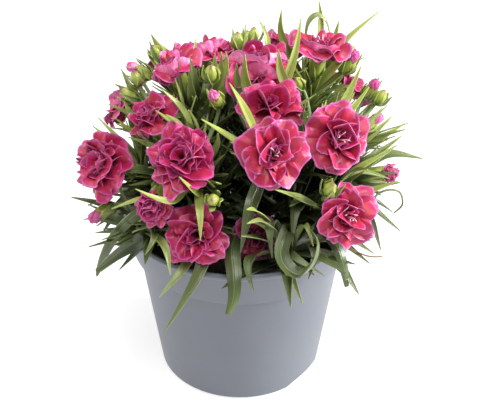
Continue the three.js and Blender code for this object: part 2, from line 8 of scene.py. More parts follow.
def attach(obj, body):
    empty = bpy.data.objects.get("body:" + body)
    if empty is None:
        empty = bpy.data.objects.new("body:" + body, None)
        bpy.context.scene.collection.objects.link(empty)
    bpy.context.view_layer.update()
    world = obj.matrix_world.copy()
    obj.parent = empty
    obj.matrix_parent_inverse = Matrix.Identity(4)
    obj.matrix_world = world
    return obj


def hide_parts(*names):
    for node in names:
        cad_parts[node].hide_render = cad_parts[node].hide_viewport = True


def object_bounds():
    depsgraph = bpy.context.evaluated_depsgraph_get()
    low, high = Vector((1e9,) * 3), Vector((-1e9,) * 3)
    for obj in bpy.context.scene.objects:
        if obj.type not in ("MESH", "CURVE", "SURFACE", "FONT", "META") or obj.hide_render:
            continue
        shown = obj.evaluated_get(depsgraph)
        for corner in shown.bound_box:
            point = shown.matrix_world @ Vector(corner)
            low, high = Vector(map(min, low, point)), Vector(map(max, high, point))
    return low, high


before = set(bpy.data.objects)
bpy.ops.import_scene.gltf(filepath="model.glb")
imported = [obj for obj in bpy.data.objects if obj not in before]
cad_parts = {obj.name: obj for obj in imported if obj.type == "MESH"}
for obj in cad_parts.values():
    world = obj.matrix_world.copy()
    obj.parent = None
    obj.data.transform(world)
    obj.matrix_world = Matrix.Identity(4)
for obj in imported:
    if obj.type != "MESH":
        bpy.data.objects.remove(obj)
cad_low, cad_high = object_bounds()

# A potted double dianthus: a nursery pot of peat, flowering stems with their calyces, leaf pairs and
# buds, leafy shoots, and a ruffled bloom of separate petals on each flowering stem. Sizes are in
# millimetres, and each mesh is brought to metres when it is finished. +Z is up, and the plant's
# front is towards -Y.

MM = 0.001
UP = Vector((0, 0, 1))
MASK = 0xFFFFFFFF
SEED_STRIDE = 0x6D2B79F5

# ---- Driving sizes --------------------------------------------------------------------------------

POT_HEIGHT = 100
POT_FOOT_RADIUS = 44
POT_SHOULDER_RADIUS = 55
POT_BAND_RADIUS = 58
POT_RIM_RADIUS = 65
POT_BAND_HEIGHT = 24
POT_WALL = 1.6
POT_STEPS = 144
FOOT_CHANNEL_INNER = 22
FOOT_CHANNEL_OUTER = 37
FOOT_CHANNEL_HEIGHT = 3
DRAIN_HOLE_COUNT = 6
DRAIN_HOLE_RADIUS = 3
DRAIN_HOLE_CIRCLE = 30
DRAIN_HOLE_SIDES = 24
DRAIN_NOTCH_AZIMUTHS = (55, 235)
DRAIN_NOTCH_WIDTH = 30
DRAIN_NOTCH_HEIGHT = 4.5
DRAIN_NOTCH_SIDES = 64
DRILL_LENGTH = 12

SOIL_LEVEL = 88
SOIL_GAP = 0.7
SOIL_LUMP = 0.9
SOIL_STEPS = 110
SOIL_FLAT_RADIUS = 57
SOIL_RING = 2
CRUMB_COUNT = 300
CRUMB_SPREAD = 56
FIBRE_COUNT = 70
FIBRE_SPREAD = 54
FIBRE_RADIUS = 0.22

STEM_FOOT = 66
STEM_COLLAR = 91
STEM_RADIUS = 1.5
STEM_SIDES = 9
STEM_STEPS = 26
NODE_SWELL = 0.4
BRANCH_RADIUS = 1.1
BRANCH_SIDES = 8
BRANCH_STEPS = 12
# How far off the pot's axis a stem leaves the soil, for each degree that it leans.
FLOWER_SPREAD = 0.42
SHOOT_SPREAD = 0.62
CALYX_LENGTH = 16.5
BLOOM_SEAT = 2.5
BUD_MIDDLE = 7
BUD_SLIM = 0.78
BUD_SHORT = 0.76
BRANCH_DROP = 22
CALYX_SIDES = 30
BUD_SIDES = 40
TIP_SIDES = 60

LEAF_THICKNESS = 0.45
LEAF_COLUMNS = 4
LEAF_ROWS = 15
SMALL_LEAF_ROWS = 7
CURLED_GRID = (6, 30)
# An accent leaf grows from one of the nearest stems, looked for at one of these depths below its bend.
ACCENT_WIDTH = 0.84
ACCENT_DROPS = (12, 4, 20)
ACCENT_RANKS = 3
LEAF_SPACING = 12.5
LEAF_LEAN = 1 / 65
# By how much a leaf may enter a bloom's space, and how far off a bloom is looked at for that.
LEAF_ROOM = 0.8
BLOOM_NEAR = 75
SHOOT_LEAN = 1 / 80
# Where a stem's lowest leaf pair stands, and how much of the stem its pairs take up.
PAIR_START = 0.03
PAIR_SPAN = 0.88
LOW_LEAF_TOP = 130
LOW_LEAF_FADE = 35

PETAL_THICKNESS = 0.22
FRONT_PETAL_GRID = (32, 10)
BACK_PETAL_GRID = (22, 8)
HEART_PETAL_GRID = (18, 7)
# The styles show in an open bloom that has at least this many petals of its own.
FULL_BLOOM = 14
STYLE_COUNT = 6
STYLE_RADIUS = 0.34
STYLE_TAPER = 0.02

TUFT_NODES = 8
TUFT_LEAVES = 5
TUFT_LOW = 104
THREAD_RADIUS = 0.4
THREAD_STEPS = 16
SHARP_ANGLE = 55
# The space of the whole plant, which is the solids'.
REACH_LOW = cad_low / MM
REACH_HIGH = cad_high / MM

# The solids draw their leaves from the first two seeds, so those two are the same here.
LEAF_SEED = 300
TIER_SEED = 500
PETAL_SEED = 700
FINE_SEED = 900
TUFT_SEED = 1100
YOUNG_SEED = 1300

# Profiles as radius and height. The calyx is counted from its mouth, and a bud from its base.
CALYX_CUP = [
    (0, -17), (1.5, -16.8), (2.4, -15.6), (3.3, -13.2), (3.9, -10.6), (4.2, -8), (4.25, -5), (4.15, -2),
    (4.1, 0), (3.6, 0), (3.3, -1.6), (1.6, -4), (0, -5),
]
CALYX_MOUTH = (8, 9)
GREEN_BUD = [
    (0, 0), (1.8, 0.3), (3, 1.5), (3.9, 3.6), (4.3, 5.8), (4.2, 8), (3.7, 9.9), (2.9, 11.5), (2, 12.8),
    (1.1, 13.8), (0, 14.6),
]
OPENING_BUD = [
    (0, 0), (1.9, 0.3), (3.2, 1.5), (4.3, 3.8), (4.7, 6), (4.4, 8.6), (3.95, 11), (3.3, 11), (2.6, 9.2),
    (0, 8),
]
OPENING_MOUTH = (6, 7)
BUD_TIP = [
    (0, 6), (1.3, 6.8), (2.2, 8.2), (2.9, 9.6), (3.2, 11), (3.1, 12.4), (2.6, 13.8), (1.6, 14.8),
    (0, 15.3),
]

# Blooms: x, y, z of the outer petals' plane, azimuth and elevation of the face, width, form.
# Azimuth is counted from the front (-Y) towards +X.
BLOOMS = [
    (-68, -28, 143, -55, 30, 32, "domed"),
    (-27, -55, 162, -20, 50, 34, "domed"),
    (-42, -57, 140, -12, 5, 24, "half"),
    (-21, -60, 122, -5, 25, 33, "domed"),
    (16, -56, 166, 5, 40, 37, "open"),
    (47, -40, 165, 18, 36, 37, "open"),
    (15, -26, 176, 10, 60, 35, "domed"),
    (52, -54, 130, 25, 25, 34, "open"),
    (41, 18, 183, 60, 82, 34, "open"),
    (9, 2, 182, 0, 72, 36, "domed"),
    (-18, 20, 180, -120, 75, 28, "domed"),
    (-33, -4, 184, -80, 65, 28, "domed"),
    (-45, -26, 168, -60, 55, 28, "domed"),
    (8, -47, 112, 5, 15, 27, "open"),
    (76, -8, 124, 80, 15, 16, "half"),
    (58, 36, 150, 122, 35, 34, "domed"),
    (25, 63, 140, 158, 30, 33, "open"),
    (-11, 65, 148, 190, 38, 33, "domed"),
    (-61, 35, 138, 240, 28, 33, "open"),
    (22, 38, 176, 150, 62, 32, "domed"),
    (-37, 42, 166, 222, 50, 32, "open"),
    (-71, 6, 122, 265, 20, 30, "domed"),
    (-37, 52, 116, 215, 15, 28, "domed"),
]

# The whorls of each form: how many petals, how far they spread and rise as parts of the bloom's
# radius, the radius and height of their bend, how wide they are beside their length, how much they
# cup inwards, the ruffle of their margin as a part of the radius, and how sharply some are folded.
BLOOM_FORMS = {
    "domed": [
        (6, 1.0, 0.2, 0.42, 0.4, 1.0, -0.1, 0.1, 0),
        (6, 0.86, 0.44, 0.3, 0.5, 0.95, 0.3, 0.13, 0.4),
        (5, 0.66, 0.66, 0.2, 0.5, 0.9, 0.4, 0.15, 1.0),
        (5, 0.44, 0.74, 0.1, 0.5, 0.8, 0.6, 0.16, 1.2),
        (4, 0.2, 0.74, 0.03, 0.45, 0.7, 0.8, 0.16, 1.2),
    ],
    "open": [
        (6, 1.0, 0.12, 0.46, 0.34, 1.05, 0.0, 0.1, 0),
        (5, 0.84, 0.3, 0.32, 0.4, 1.0, 0.3, 0.12, 0.4),
        (3, 0.58, 0.4, 0.2, 0.36, 0.9, 0.4, 0.14, 1.0),
        (4, 0.34, 0.34, 0.1, 0.28, 0.75, 0.6, 0.15, 1.2),
    ],
    "half": [
        (6, 1.0, 0.55, 0.46, 0.4, 1.0, 0.3, 0.1, 0),
        (5, 0.8, 0.86, 0.3, 0.5, 0.9, 0.5, 0.12, 0.4),
        (5, 0.5, 1.06, 0.14, 0.6, 0.8, 0.7, 0.12, 0.8),
    ],
}

# Where the first petal of each whorl points, in degrees.
FIRST_LOBE = (30, 0, 20, 50, 0)

# The hearts of blooms whose other petals are their own, counted from the height of the last of those.
FULL_HEART = [
    (6, 0.62, -0.04, 0.24, -0.12, 0.9, 0.2, 0.12, 0.5),
    (6, 0.42, 0.04, 0.14, -0.08, 0.85, 0.3, 0.12, 0.6),
    (5, 0.22, 0.1, 0.05, 0.0, 0.8, 0.5, 0.1, 0.8),
]
OPEN_HEART = [
    (6, 0.34, -0.02, 0.12, 0.0, 0.6, 0.6, 0.1, 1.2),
    (4, 0.2, 0.02, 0.04, 0.0, 0.5, 0.8, 0.08, 1.2),
]

# Petals of the blooms that are laid petal by petal, from the lowest up: azimuth from the bloom's
# underside anticlockwise, spread and rise of the margin as parts of the radius, width, cup, fold and
# tilt, and for an upright one how far its belly bulges outwards.
OWN_PETALS = {
    1: [
        (0, 1.15, 0, 1, 0, 0, 0), (320, 1.1, 0.02, 0.9, 0.1, 0.2, 0.1), (38, 1.2, 0.05, 0.9, 0.1, 0.2, 0),
        (75, 1.25, 0.12, 1, 0.2, 0, 0.2), (280, 1, 0.1, 1, 0.2, 0, 0),
        (118, 1.35, 0.12, 0.9, 0.2, 0.3, 0.1), (150, 1.15, 0.25, 1, 0.2, 0, 0),
        (190, 1, 0.3, 1, 0.2, 0, 0), (235, 1, 0.25, 1, 0.2, 0, 0), (62, 0.85, 0.5, 1.1, 0.6, 0, 0.1),
        (100, 0.8, 0.6, 1.1, 0.6, 0.2, 0.2), (20, 0.85, 0.35, 1.1, 0.5, 0, 0.1),
        (300, 0.8, 0.4, 1, 0.5, 0.4, 0), (150, 0.75, 0.62, 1.1, 0.6, 0.3, 0),
        (190, 0.7, 0.6, 1, 0.6, 0.5, 0), (240, 0.7, 0.55, 0.9, 0.6, 0.8, 0),
        (340, 0.6, 0.5, 0.9, 0.6, 0.8, 0.2),
    ],
    2: [
        (131, 1, 0.25, 1.1, 0.2, 0, 0.1), (170, 1, 0.3, 1, 0.2, 0, 0), (213, 1, 0.3, 1, 0.2, 0.2, 0),
        (256, 1, 0.25, 1, 0.2, 0.2, 0), (289, 1, 0.2, 1, 0.2, 0, 0), (310, 1.02, 0.1, 0.9, 0.2, 0.2, 0.1),
        (358, 1.12, 0, 0.7, 0.2, 0.4, 0), (82, 1, 0.2, 1, 0.3, 0.3, 0), (55, 1, 0.1, 0.9, 0.2, 0.2, 0),
        (22, 0.95, 0.15, 0.9, 0.2, 0.3, 0), (333, 0.85, 0.3, 1.1, 0.7, 0, 0.1),
        (150, 0.8, 0.5, 1, 0.4, 0.4, 0.2), (190, 0.8, 0.55, 0.9, 0.4, 0.4, 0),
        (235, 0.8, 0.5, 0.9, 0.4, 0.4, 0), (275, 0.75, 0.5, 0.9, 0.5, 0.5, 0),
        (105, 0.7, 0.55, 0.9, 0.5, 1.2, 0.1), (50, 0.65, 0.5, 0.9, 0.6, 1.4, 0.2),
        (300, 0.6, 0.55, 0.9, 0.5, 0.8, 0.2),
    ],
    3: [
        (0, 1, 0.45, 0.7, 0.3, 0.2, 0), (325, 0.85, 0.5, 0.7, 0.3, 0.2, 0.1),
        (35, 0.95, 0.5, 0.7, 0.3, 0, -0.1), (70, 0.85, 0.6, 0.8, 0.4, 0, 0),
        (285, 0.55, 0.6, 0.8, 0.3, 0, 0), (110, 0.7, 0.75, 0.8, 0.5, 0, 0),
        (250, 0.5, 0.7, 0.8, 0.4, 0, 0), (150, 0.6, 0.75, 0.8, 0.5, 0, 0),
        (200, 0.5, 0.75, 0.8, 0.5, 0, 0), (15, 0.62, 0.9, 0.7, 0.7, 0.6, 0.2),
        (60, 0.5, 1, 0.7, 0.7, 0.5, 0), (320, 0.5, 0.95, 0.7, 0.7, 0.7, 0),
    ],
    4: [
        (315, 1.08, 0.05, 0.9, 0, 0, 0), (75, 1, 0.1, 0.8, 0.2, 0.2, 0.2),
        (142, 1, 0.2, 0.8, 0.3, 0.6, 0.3), (175, 0.98, 0.2, 1, 0.2, 0, 0),
        (215, 1, 0.2, 1.1, 0.2, 0, 0.1), (262, 1, 0.2, 0.9, 0.3, 0.6, 0.2),
        (0, 0.9, 0.05, 0.7, 0.2, 0.3, 0), (39, 1, 0.12, 1.1, 0.8, 0, 0),
        (218, 0.72, 0.35, 1.2, 0.3, 0, 0.2), (300, 0.85, 0.3, 1.1, 0.5, 0.2, -0.2),
        (332, 0.75, 0.35, 1, 0.6, 0.8, 0.2), (80, 0.72, 0.35, 0.9, 0.6, 0.2, 0.1),
        (128, 0.55, 0.45, 0.9, 0.5, 0.5, -0.2), (5, 0.5, 0.45, 0.6, 0.6, 1.2, 0),
    ],
    5: [
        (209, 1, 0.14, 1.1, 0.1, 0, 0.1), (153, 1, 0.2, 0.85, 0.3, 0, 0.1), (349, 1, 0.05, 0.9, 0, 0, 0),
        (83, 1, 0.12, 0.95, 0.2, 0, -0.25), (27, 0.94, 0.06, 0.75, 0.3, 0.2, 0.1),
        (257, 1, 0.16, 1.1, 0.2, 0, 0.15), (123, 0.92, 0.12, 0.7, 0.2, 0, 0.2),
        (325, 0.9, 0.24, 1.2, 0.2, 0.1, -0.1), (171, 0.74, 0.36, 0.8, 0.4, 0.3, 0.3),
        (203, 0.8, 0.42, 0.9, 0.5, 0.7, -0.3), (287, 0.8, 0.3, 1.1, 0.7, 0, 0.2),
        (313, 0.48, 0.42, 0.8, 0.8, 1.2, 0.3), (37, 0.5, 0.28, 1, 0.2, 0.3, 0),
        (87, 0.44, 0.4, 0.8, 0.5, 1, 0.2),
    ],
    6: [
        (163, 0.98, 0.12, 1.1, 0.1, 0, 0), (200, 0.97, 0.15, 1.1, 0.1, 0, 0.1),
        (127, 0.94, 0.16, 1, 0.2, 0, 0.1), (79, 0.92, 0.12, 1, 0.1, 0, -0.2),
        (41, 0.92, 0.1, 0.9, 0.2, 0.1, 0.2), (357, 1, 0.04, 1, 0, 0, 0),
        (314, 0.9, 0.14, 0.9, 0.3, 0.2, -0.2), (274, 0.98, 0.16, 1, 0.2, 0, 0.1),
        (240, 0.94, 0.24, 0.9, 0.4, 0.3, 0.2), (58, 0.8, 0.32, 1, 0.4, 0.2, 0.2),
        (2, 0.8, 0.26, 1.2, 0.75, 0, 0), (152, 0.72, 0.4, 0.9, 0.5, 0.4, 0.2),
        (285, 0.66, 0.34, 0.9, 0.5, 0.3, 0.2), (205, 0.55, 0.5, 0.8, 0.7, 1.3, 0.2),
        (95, 0.54, 0.5, 0.9, 0.6, 1.3, -0.2),
    ],
    7: [
        (0, 1, 0.1, 1, 0.1, 0, 0), (50, 1, 0.1, 1, 0.1, 0, 0.1), (90, 0.98, 0.08, 1.1, 0.3, 0, 0),
        (130, 0.72, 0.12, 1.2, 0.3, 0, 0), (178, 0.48, 0.16, 1.3, 0.2, 0, 0),
        (225, 0.7, 0.12, 1.1, 0.2, 0.2, 0), (272, 1, 0.08, 1, 0.2, 0, 0), (320, 1, 0.1, 1, 0.2, 0.2, 0),
        (105, 0.65, 0.2, 1.2, 0.6, 0.2, 0), (160, 0.32, 0.24, 1.2, 0.5, 0.2, 0.2),
        (215, 0.36, 0.24, 1.2, 0.5, 0.4, 0), (290, 0.6, 0.26, 1, 0.5, 1.2, 0),
        (20, 0.55, 0.3, 1, 0.5, 1.2, 0.2), (60, 0.4, 0.26, 1, 0.5, 0.5, -0.2),
    ],
    8: [
        (170, 1, 0.16, 0.9, 0.1, 0, 0), (206, 0.98, 0.2, 0.85, 0.3, 0.2, 0.2),
        (128, 1, 0.12, 0.9, 0.1, 0, 0.1), (92, 1, 0.14, 1, 0.2, 0, -0.2),
        (48, 0.98, 0.08, 0.95, 0.2, 0, 0.2), (5, 1, 0.04, 1, 0, 0.1, 0),
        (322, 0.96, 0.1, 0.9, 0.2, 0, -0.1), (276, 1, 0.2, 1, 0.3, 0.2, 0.2),
        (236, 0.9, 0.3, 0.8, 0.4, 0.3, 0.2), (186, 0.76, 0.4, 0.9, 0.4, 0.6, 0.2),
        (112, 0.8, 0.3, 1.1, 0.5, 0, 0.1), (20, 0.76, 0.26, 1.1, 0.6, 0.2, 0),
        (290, 0.6, 0.4, 0.9, 0.6, 0.9, 0.2), (228, 0.5, 0.5, 0.8, 0.7, 1.2, 0),
        (60, 0.5, 0.42, 0.8, 0.6, 1, 0.2),
    ],
    9: [
        (120, 0.95, -0.22, 1, 0.1, 0, 0), (75, 0.95, -0.12, 1, 0.1, 0.2, 0),
        (165, 0.9, -0.05, 1, 0.2, 0, 0), (30, 1, 0.15, 1, 0.1, 0, 0), (210, 0.95, 0.2, 0.9, 0.2, 0.3, 0),
        (345, 0.98, 0.3, 1.1, 0.2, 0.2, 0), (255, 0.98, 0.3, 1.1, 0.2, 0, 0.2),
        (300, 0.85, 0.4, 1.2, 0.3, 0, 0), (330, 0.4, 0.5, 1.3, 0.5, 0.2, 0.2, 0.6),
        (285, 0.35, 0.55, 1.4, 0.5, 0, -0.1, 0.6), (10, 0.7, 0.35, 1.1, 0.4, 0.3, -0.2),
        (60, 0.6, 0.3, 1, 0.4, 0.5, 0), (240, 0.4, 0.5, 1.3, 0.5, 0.2, 0, 0.5),
        (130, 0.4, 0.3, 0.9, 0.5, 0.5, 0.2),
    ],
    10: [
        (335, 1.1, -0.3, 1, 0.3, 0.6, 0.2), (15, 1.15, -0.42, 0.8, 0.3, 0.6, 0),
        (52, 1.05, -0.1, 1, 0.1, 0, 0), (95, 1, 0.05, 1, 0.2, 0, 0), (140, 0.7, 0.05, 1.1, 0.2, 0, 0),
        (185, 0.5, 0.1, 1.2, 0.2, 0, 0), (230, 0.7, 0.05, 1.1, 0.2, 0, 0), (275, 1, 0.05, 1, 0.2, 0, 0),
        (312, 1.05, -0.1, 1, 0.2, 0, 0), (90, 0.6, 0.25, 1.1, 0.6, 0, 0),
        (262, 0.6, 0.3, 1.2, 0.6, 0.2, 0), (300, 0.4, 0.6, 1.3, 0.6, 0, 0.1, 0.6),
        (60, 0.45, 0.55, 1.2, 0.6, 0, 0, 0.6), (330, 0.24, 0.8, 1.5, 0.6, 0, 0.1, 0.75),
        (28, 0.24, 0.78, 1.5, 0.6, 0, -0.1, 0.75), (180, 0.35, 0.45, 1.2, 0.6, 0.3, 0),
    ],
    11: [
        (120, 1, 0.1, 1.1, 0.3, 0, 0), (70, 1.05, 0.1, 1, 0.2, 0, 0), (170, 1, 0.1, 1, 0.2, 0, 0),
        (220, 0.9, 0.05, 1, 0.2, 0, 0), (270, 0.8, 0.05, 1, 0.2, 0, 0), (320, 0.8, 0.1, 1, 0.2, 0, 0),
        (20, 1, 0.1, 1, 0.2, 0, 0), (240, 0.4, 0.3, 1, 0.6, 0, 0), (185, 0.4, 0.5, 1.3, 0.6, 0, 0, 0.6),
        (95, 0.35, 0.62, 1.5, 0.7, 0, 0.1, 0.75), (140, 0.35, 0.58, 1.5, 0.7, 0, -0.1, 0.75),
        (330, 0.35, 0.3, 1, 0.6, 0.5, 0),
    ],
    12: [
        (80, 0.9, 0.3, 1.2, 0.4, 0, 0), (35, 0.85, 0.15, 1, 0.2, 0, 0), (125, 1, 0.2, 1, 0.3, 0, 0.1),
        (170, 1.15, 0.1, 1, 0.2, 0, 0), (215, 1, 0.1, 1, 0.2, 0, 0), (260, 0.9, 0.1, 1, 0.2, 0, 0),
        (310, 0.8, 0.05, 1, 0.1, 0, 0), (0, 0.8, 0.1, 1, 0.1, 0, 0), (230, 0.45, 0.4, 1, 0.6, 0.5, 0),
        (20, 0.5, 0.5, 1.3, 0.7, 0.2, 0, 0.7), (62, 0.4, 0.62, 1.5, 0.7, 0, 0.1, 0.8),
        (100, 0.35, 0.66, 1.5, 0.7, 0, 0, 0.8), (140, 0.4, 0.6, 1.4, 0.6, 0.2, 0, 0.7),
        (280, 0.4, 0.4, 1, 0.5, 0.5, 0),
    ],
    13: [
        (0, 0.6, 0.05, 0.9, 0.1, 0, 0), (50, 0.85, 0.1, 0.9, 0.2, 0.2, 0),
        (98, 1.2, 0.15, 0.9, 0.2, 0, 0), (140, 1.35, 0.25, 0.9, 0.2, 0.2, 0),
        (178, 1.25, 0.3, 0.9, 0.2, 0, 0), (215, 0.9, 0.3, 0.9, 0.2, 0.2, 0),
        (255, 0.6, 0.2, 0.8, 0.2, 0, 0), (305, 0.6, 0.1, 0.9, 0.1, 0.2, 0),
        (20, 0.5, 0.4, 0.9, 0.5, 0.8, 0), (100, 0.8, 0.42, 0.8, 0.5, 1, 0.2),
        (130, 0.95, 0.45, 0.8, 0.6, 0.8, 0), (160, 0.9, 0.5, 0.8, 0.5, 0.8, 0),
        (60, 0.45, 0.45, 0.8, 0.5, 1, 0),
    ],
    15: [
        (0, 0.6, 0.5, 0.8, 0.4, 0, 0), (60, 0.6, 0.55, 0.8, 0.4, 0, 0), (120, 0.6, 0.6, 0.8, 0.4, 0, 0),
        (180, 0.5, 0.6, 0.8, 0.4, 0, 0), (240, 0.5, 0.6, 0.8, 0.4, 0, 0),
        (300, 0.6, 0.55, 0.8, 0.4, 0, 0), (30, 0.3, 0.9, 0.8, 0.6, 0.3, 0, 0.5),
        (150, 0.3, 0.9, 0.8, 0.6, 0.3, 0, 0.5), (270, 0.25, 0.8, 0.8, 0.6, 0.3, 0),
    ],
    16: [
        (0, 0.9, 0.1, 1, 0.1, 0, 0), (52, 0.9, 0.1, 1, 0.1, 0, 0), (104, 0.85, 0.1, 1, 0.1, 0, 0),
        (156, 0.6, 0.05, 1, 0.2, 0, 0), (208, 0.5, 0, 1, 0.2, 0, 0), (258, 0.6, 0, 1, 0.2, 0, 0),
        (310, 0.8, 0.05, 1, 0.1, 0, 0), (25, 0.6, 0.3, 1.1, 0.4, 0.2, 0), (90, 0.6, 0.3, 1, 0.4, 0.4, 0),
        (160, 0.4, 0.2, 1, 0.4, 0.3, 0.2), (220, 0.35, 0.15, 1, 0.4, 0.5, 0),
        (300, 0.4, 0.2, 1, 0.4, 0.4, 0),
    ],
    21: [
        (0, 1, -0.1, 1, 0.1, 0, 0), (50, 1, -0.1, 1, 0.1, 0, 0), (100, 0.8, -0.1, 1, 0.1, 0, 0),
        (150, 0.6, -0.1, 1, 0.2, 0, 0), (200, 0.6, -0.1, 1, 0.2, 0, 0), (250, 0.8, -0.1, 1, 0.2, 0, 0),
        (305, 1, -0.1, 1, 0.1, 0, 0), (25, 0.7, 0.1, 1.1, 0.4, 0.2, 0), (90, 0.6, 0.1, 1, 0.4, 0.4, 0),
        (160, 0.35, 0.1, 1, 0.4, 0.3, 0.2), (220, 0.35, 0.1, 1, 0.4, 0.5, 0),
        (300, 0.6, 0.1, 1, 0.4, 0.4, 0),
    ],
    20: [
        (0, 0.8, -0.15, 1.1, 0.1, 0, 0), (50, 0.8, -0.15, 1, 0.1, 0, 0), (95, 0.65, -0.15, 1, 0.1, 0, 0),
        (140, 0.5, -0.15, 1, 0.2, 0, 0), (185, 0.4, -0.15, 1.1, 0.2, 0, 0),
        (225, 0.5, -0.15, 1, 0.2, 0, 0), (268, 0.65, -0.15, 1, 0.1, 0, 0),
        (312, 0.8, -0.15, 1, 0.1, 0, 0), (20, 0.5, 0, 1.1, 0.4, 0.2, 0), (80, 0.45, 0, 1, 0.4, 0.4, 0),
        (150, 0.3, 0, 1, 0.4, 0.3, 0.2), (220, 0.3, 0, 1, 0.4, 0.5, 0), (290, 0.4, 0.02, 1, 0.4, 0.4, 0),
    ],
}

# Leafy shoots without a flower: x, y, z of the growing tip.
SHOOTS = [(44, 34, 160), (62, 4, 140), (-52, -40, 112), (26, -48, 104)]

# Buds: x, y, z of the bud's middle, azimuth and elevation of its point, size, green or opening.
BUDS = [
    (-57, -9, 173, -80, 35, 1, "green"),
    (-52, -10, 183, -60, 75, 0.8, "green"),
    (-44, 23, 180, -60, 60, 1, "green"),
    (-14, -22, 193, 0, 75, 1, "green"),
    (-1, 21, 188, 200, 70, 0.9, "green"),
    (7, 23, 190, 150, 80, 0.85, "green"),
    (-13, -72, 151, -5, 35, 0.9, "green"),
    (44, -60, 150, 30, 60, 0.95, "green"),
    (74, 15, 158, 80, 60, 0.9, "green"),
    (29, -6, 178, -60, 60, 0.8, "green"),
    (39, 46, 163, 140, 50, 1, "green"),
    (4, 52, 172, 180, 60, 1, "green"),
    (-56, 48, 152, 230, 40, 0.9, "green"),
    (-70, -36, 119, -50, -10, 1, "opening"),
    (57, 24, 172, 80, 65, 1, "opening"),
    (-51, 6, 177, -95, 30, 0.9, "opening"),
    (-12, -32, 183, -20, 55, 0.9, "opening"),
    (68, 17, 160, 60, 60, 0.9, "opening"),
    (70, 27, 133, 110, 35, 1, "opening"),
    (-25, 68, 128, 200, 25, 1, "opening"),
]

# How far the furled petals of each opening bud have coloured, from pale to full.
TIP_TONES = (0.8, 0.9, 0.1, 0.2, 1, 0.7, 0.6)

# Accent leaves: the bend they pass under, their tip, their width, and their tone from 0, a deep old
# green, to 1, the lime of young growth.
ACCENT_LEAVES = [
    (43, 40, 186, 41, 40, 200, 4, 0.9), (53, 26, 184, 72, 34, 197, 4, 0.8),
    (27, -8, 190, 30, -2, 211, 5, 0.9), (20, 25, 187, 21, 23, 203, 5, 0.9),
    (16, 20, 186, 10, 26, 196, 4, 0.8), (50, 42, 176, 52, 43, 187, 4, 0.9),
    (48, 6, 180, 59, 14, 188, 5, 0.8), (54, -8, 170, 61, -2, 185, 5, 0.9),
    (56, -12, 164, 65, -6, 175, 4, 0.8), (-24, -4, 186, -22, 4, 197, 4, 0.8),
    (-24, -34, 176, -38, -34, 190, 5, 0.6), (-30, -40, 172, -40, -46, 185, 5, 0.5),
    (-26, -40, 172, -35, -50, 185, 6, 0.5), (-54, -14, 160, -58, -13, 171, 5, 0.7),
    (-48, -22, 156, -62, -20, 162, 5, 0.8), (3, -44, 184, -5, -44, 199, 5, 0.9),
    (-4, -44, 168, -18, -54, 185, 6, 0.7), (19, -12, 186, 19, -13, 200, 6, 0.6),
    (65, -4, 142, 79, 4, 152, 6, 0.8), (67, 0, 136, 86, 8, 145, 7, 0.8),
    (65, -8, 131, 84, 2, 141, 7, 0.6), (63, -16, 133, 81, -8, 142, 6, 0.7),
    (57, -24, 137, 76, -22, 147, 5, 0.9), (76, 9, 128, 97, 10, 122, 7, 0.4),
    (64, -22, 124, 82, -22, 128, 6, 0.3), (56, -26, 141, 76, -28, 134, 5, 0.6),
    (69, -12, 112, 81, -8, 100, 4, 0.2), (66, -20, 114, 85, -16, 93, 5, 0.3),
    (68, -24, 108, 74, -26, 88, 5, 0.3), (53, -36, 106, 69, -40, 96, 5, 0.5),
    (-16, -68, 111, -38, -78, 75, 8, 0.5), (-26, -66, 108, -40, -77, 96, 6, 0.7),
    (1, -68, 116, 7, -79, 100, 6, 0.4), (46, -40, 110, 66, -50, 97, 6, 0.4),
    (5, -62, 142, 0, -66, 115, 8, 0.2), (13, -62, 138, 16, -66, 112, 7, 0.2),
    (27, -46, 134, 26, -60, 115, 7, 0.3), (32, -54, 129, 36, -64, 118, 4, 0.8),
    (28, -56, 142, 17, -66, 153, 5, 0.8), (-19, -75, 149, -19, -80, 133, 5, 0.9),
    (-19, -66, 148, -28, -78, 168, 5, 0.9), (-32, -73, 148, -49, -76, 160, 5, 0.85),
    (-44, -46, 137, -63, -56, 135, 5, 0.9), (-46, -44, 112, -74, -43, 85, 7, 0.5),
    (-38, -46, 122, -54, -52, 118, 5, 0.8), (-40, -60, 124, -47, -66, 114, 5, 0.6),
    (-44, -36, 104, -66, -44, 104, 7, 0.3), (-36, -68, 124, -34, -77, 110, 5, 0.8),
    (-62, -32, 119, -70, -40, 109, 5, 0.2), (-48, -40, 104, -62, -46, 90, 6, 0.3),
    (40, -54, 112, 34, -66, 99, 7, 0.3), (24, -60, 111, 42, -67, 102, 5, 0.5),
    (48, -52, 104, 60, -64, 88, 8, 0.4), (22, -66, 110, 31, -77, 92, 7, 0.5),
]

# Young leaves that stand in the gaps between the blooms, which only the fine pieces have: how many,
# between which azimuths and elevations, and the dome that the blooms lie on.
YOUNG_COUNT = 46
YOUNG_AZIMUTHS = (-120, 85)
YOUNG_ELEVATIONS = (12, 82)
YOUNG_ROOM = 0.9
CROWN_MIDDLE = 112
CROWN_RADIUS = 76

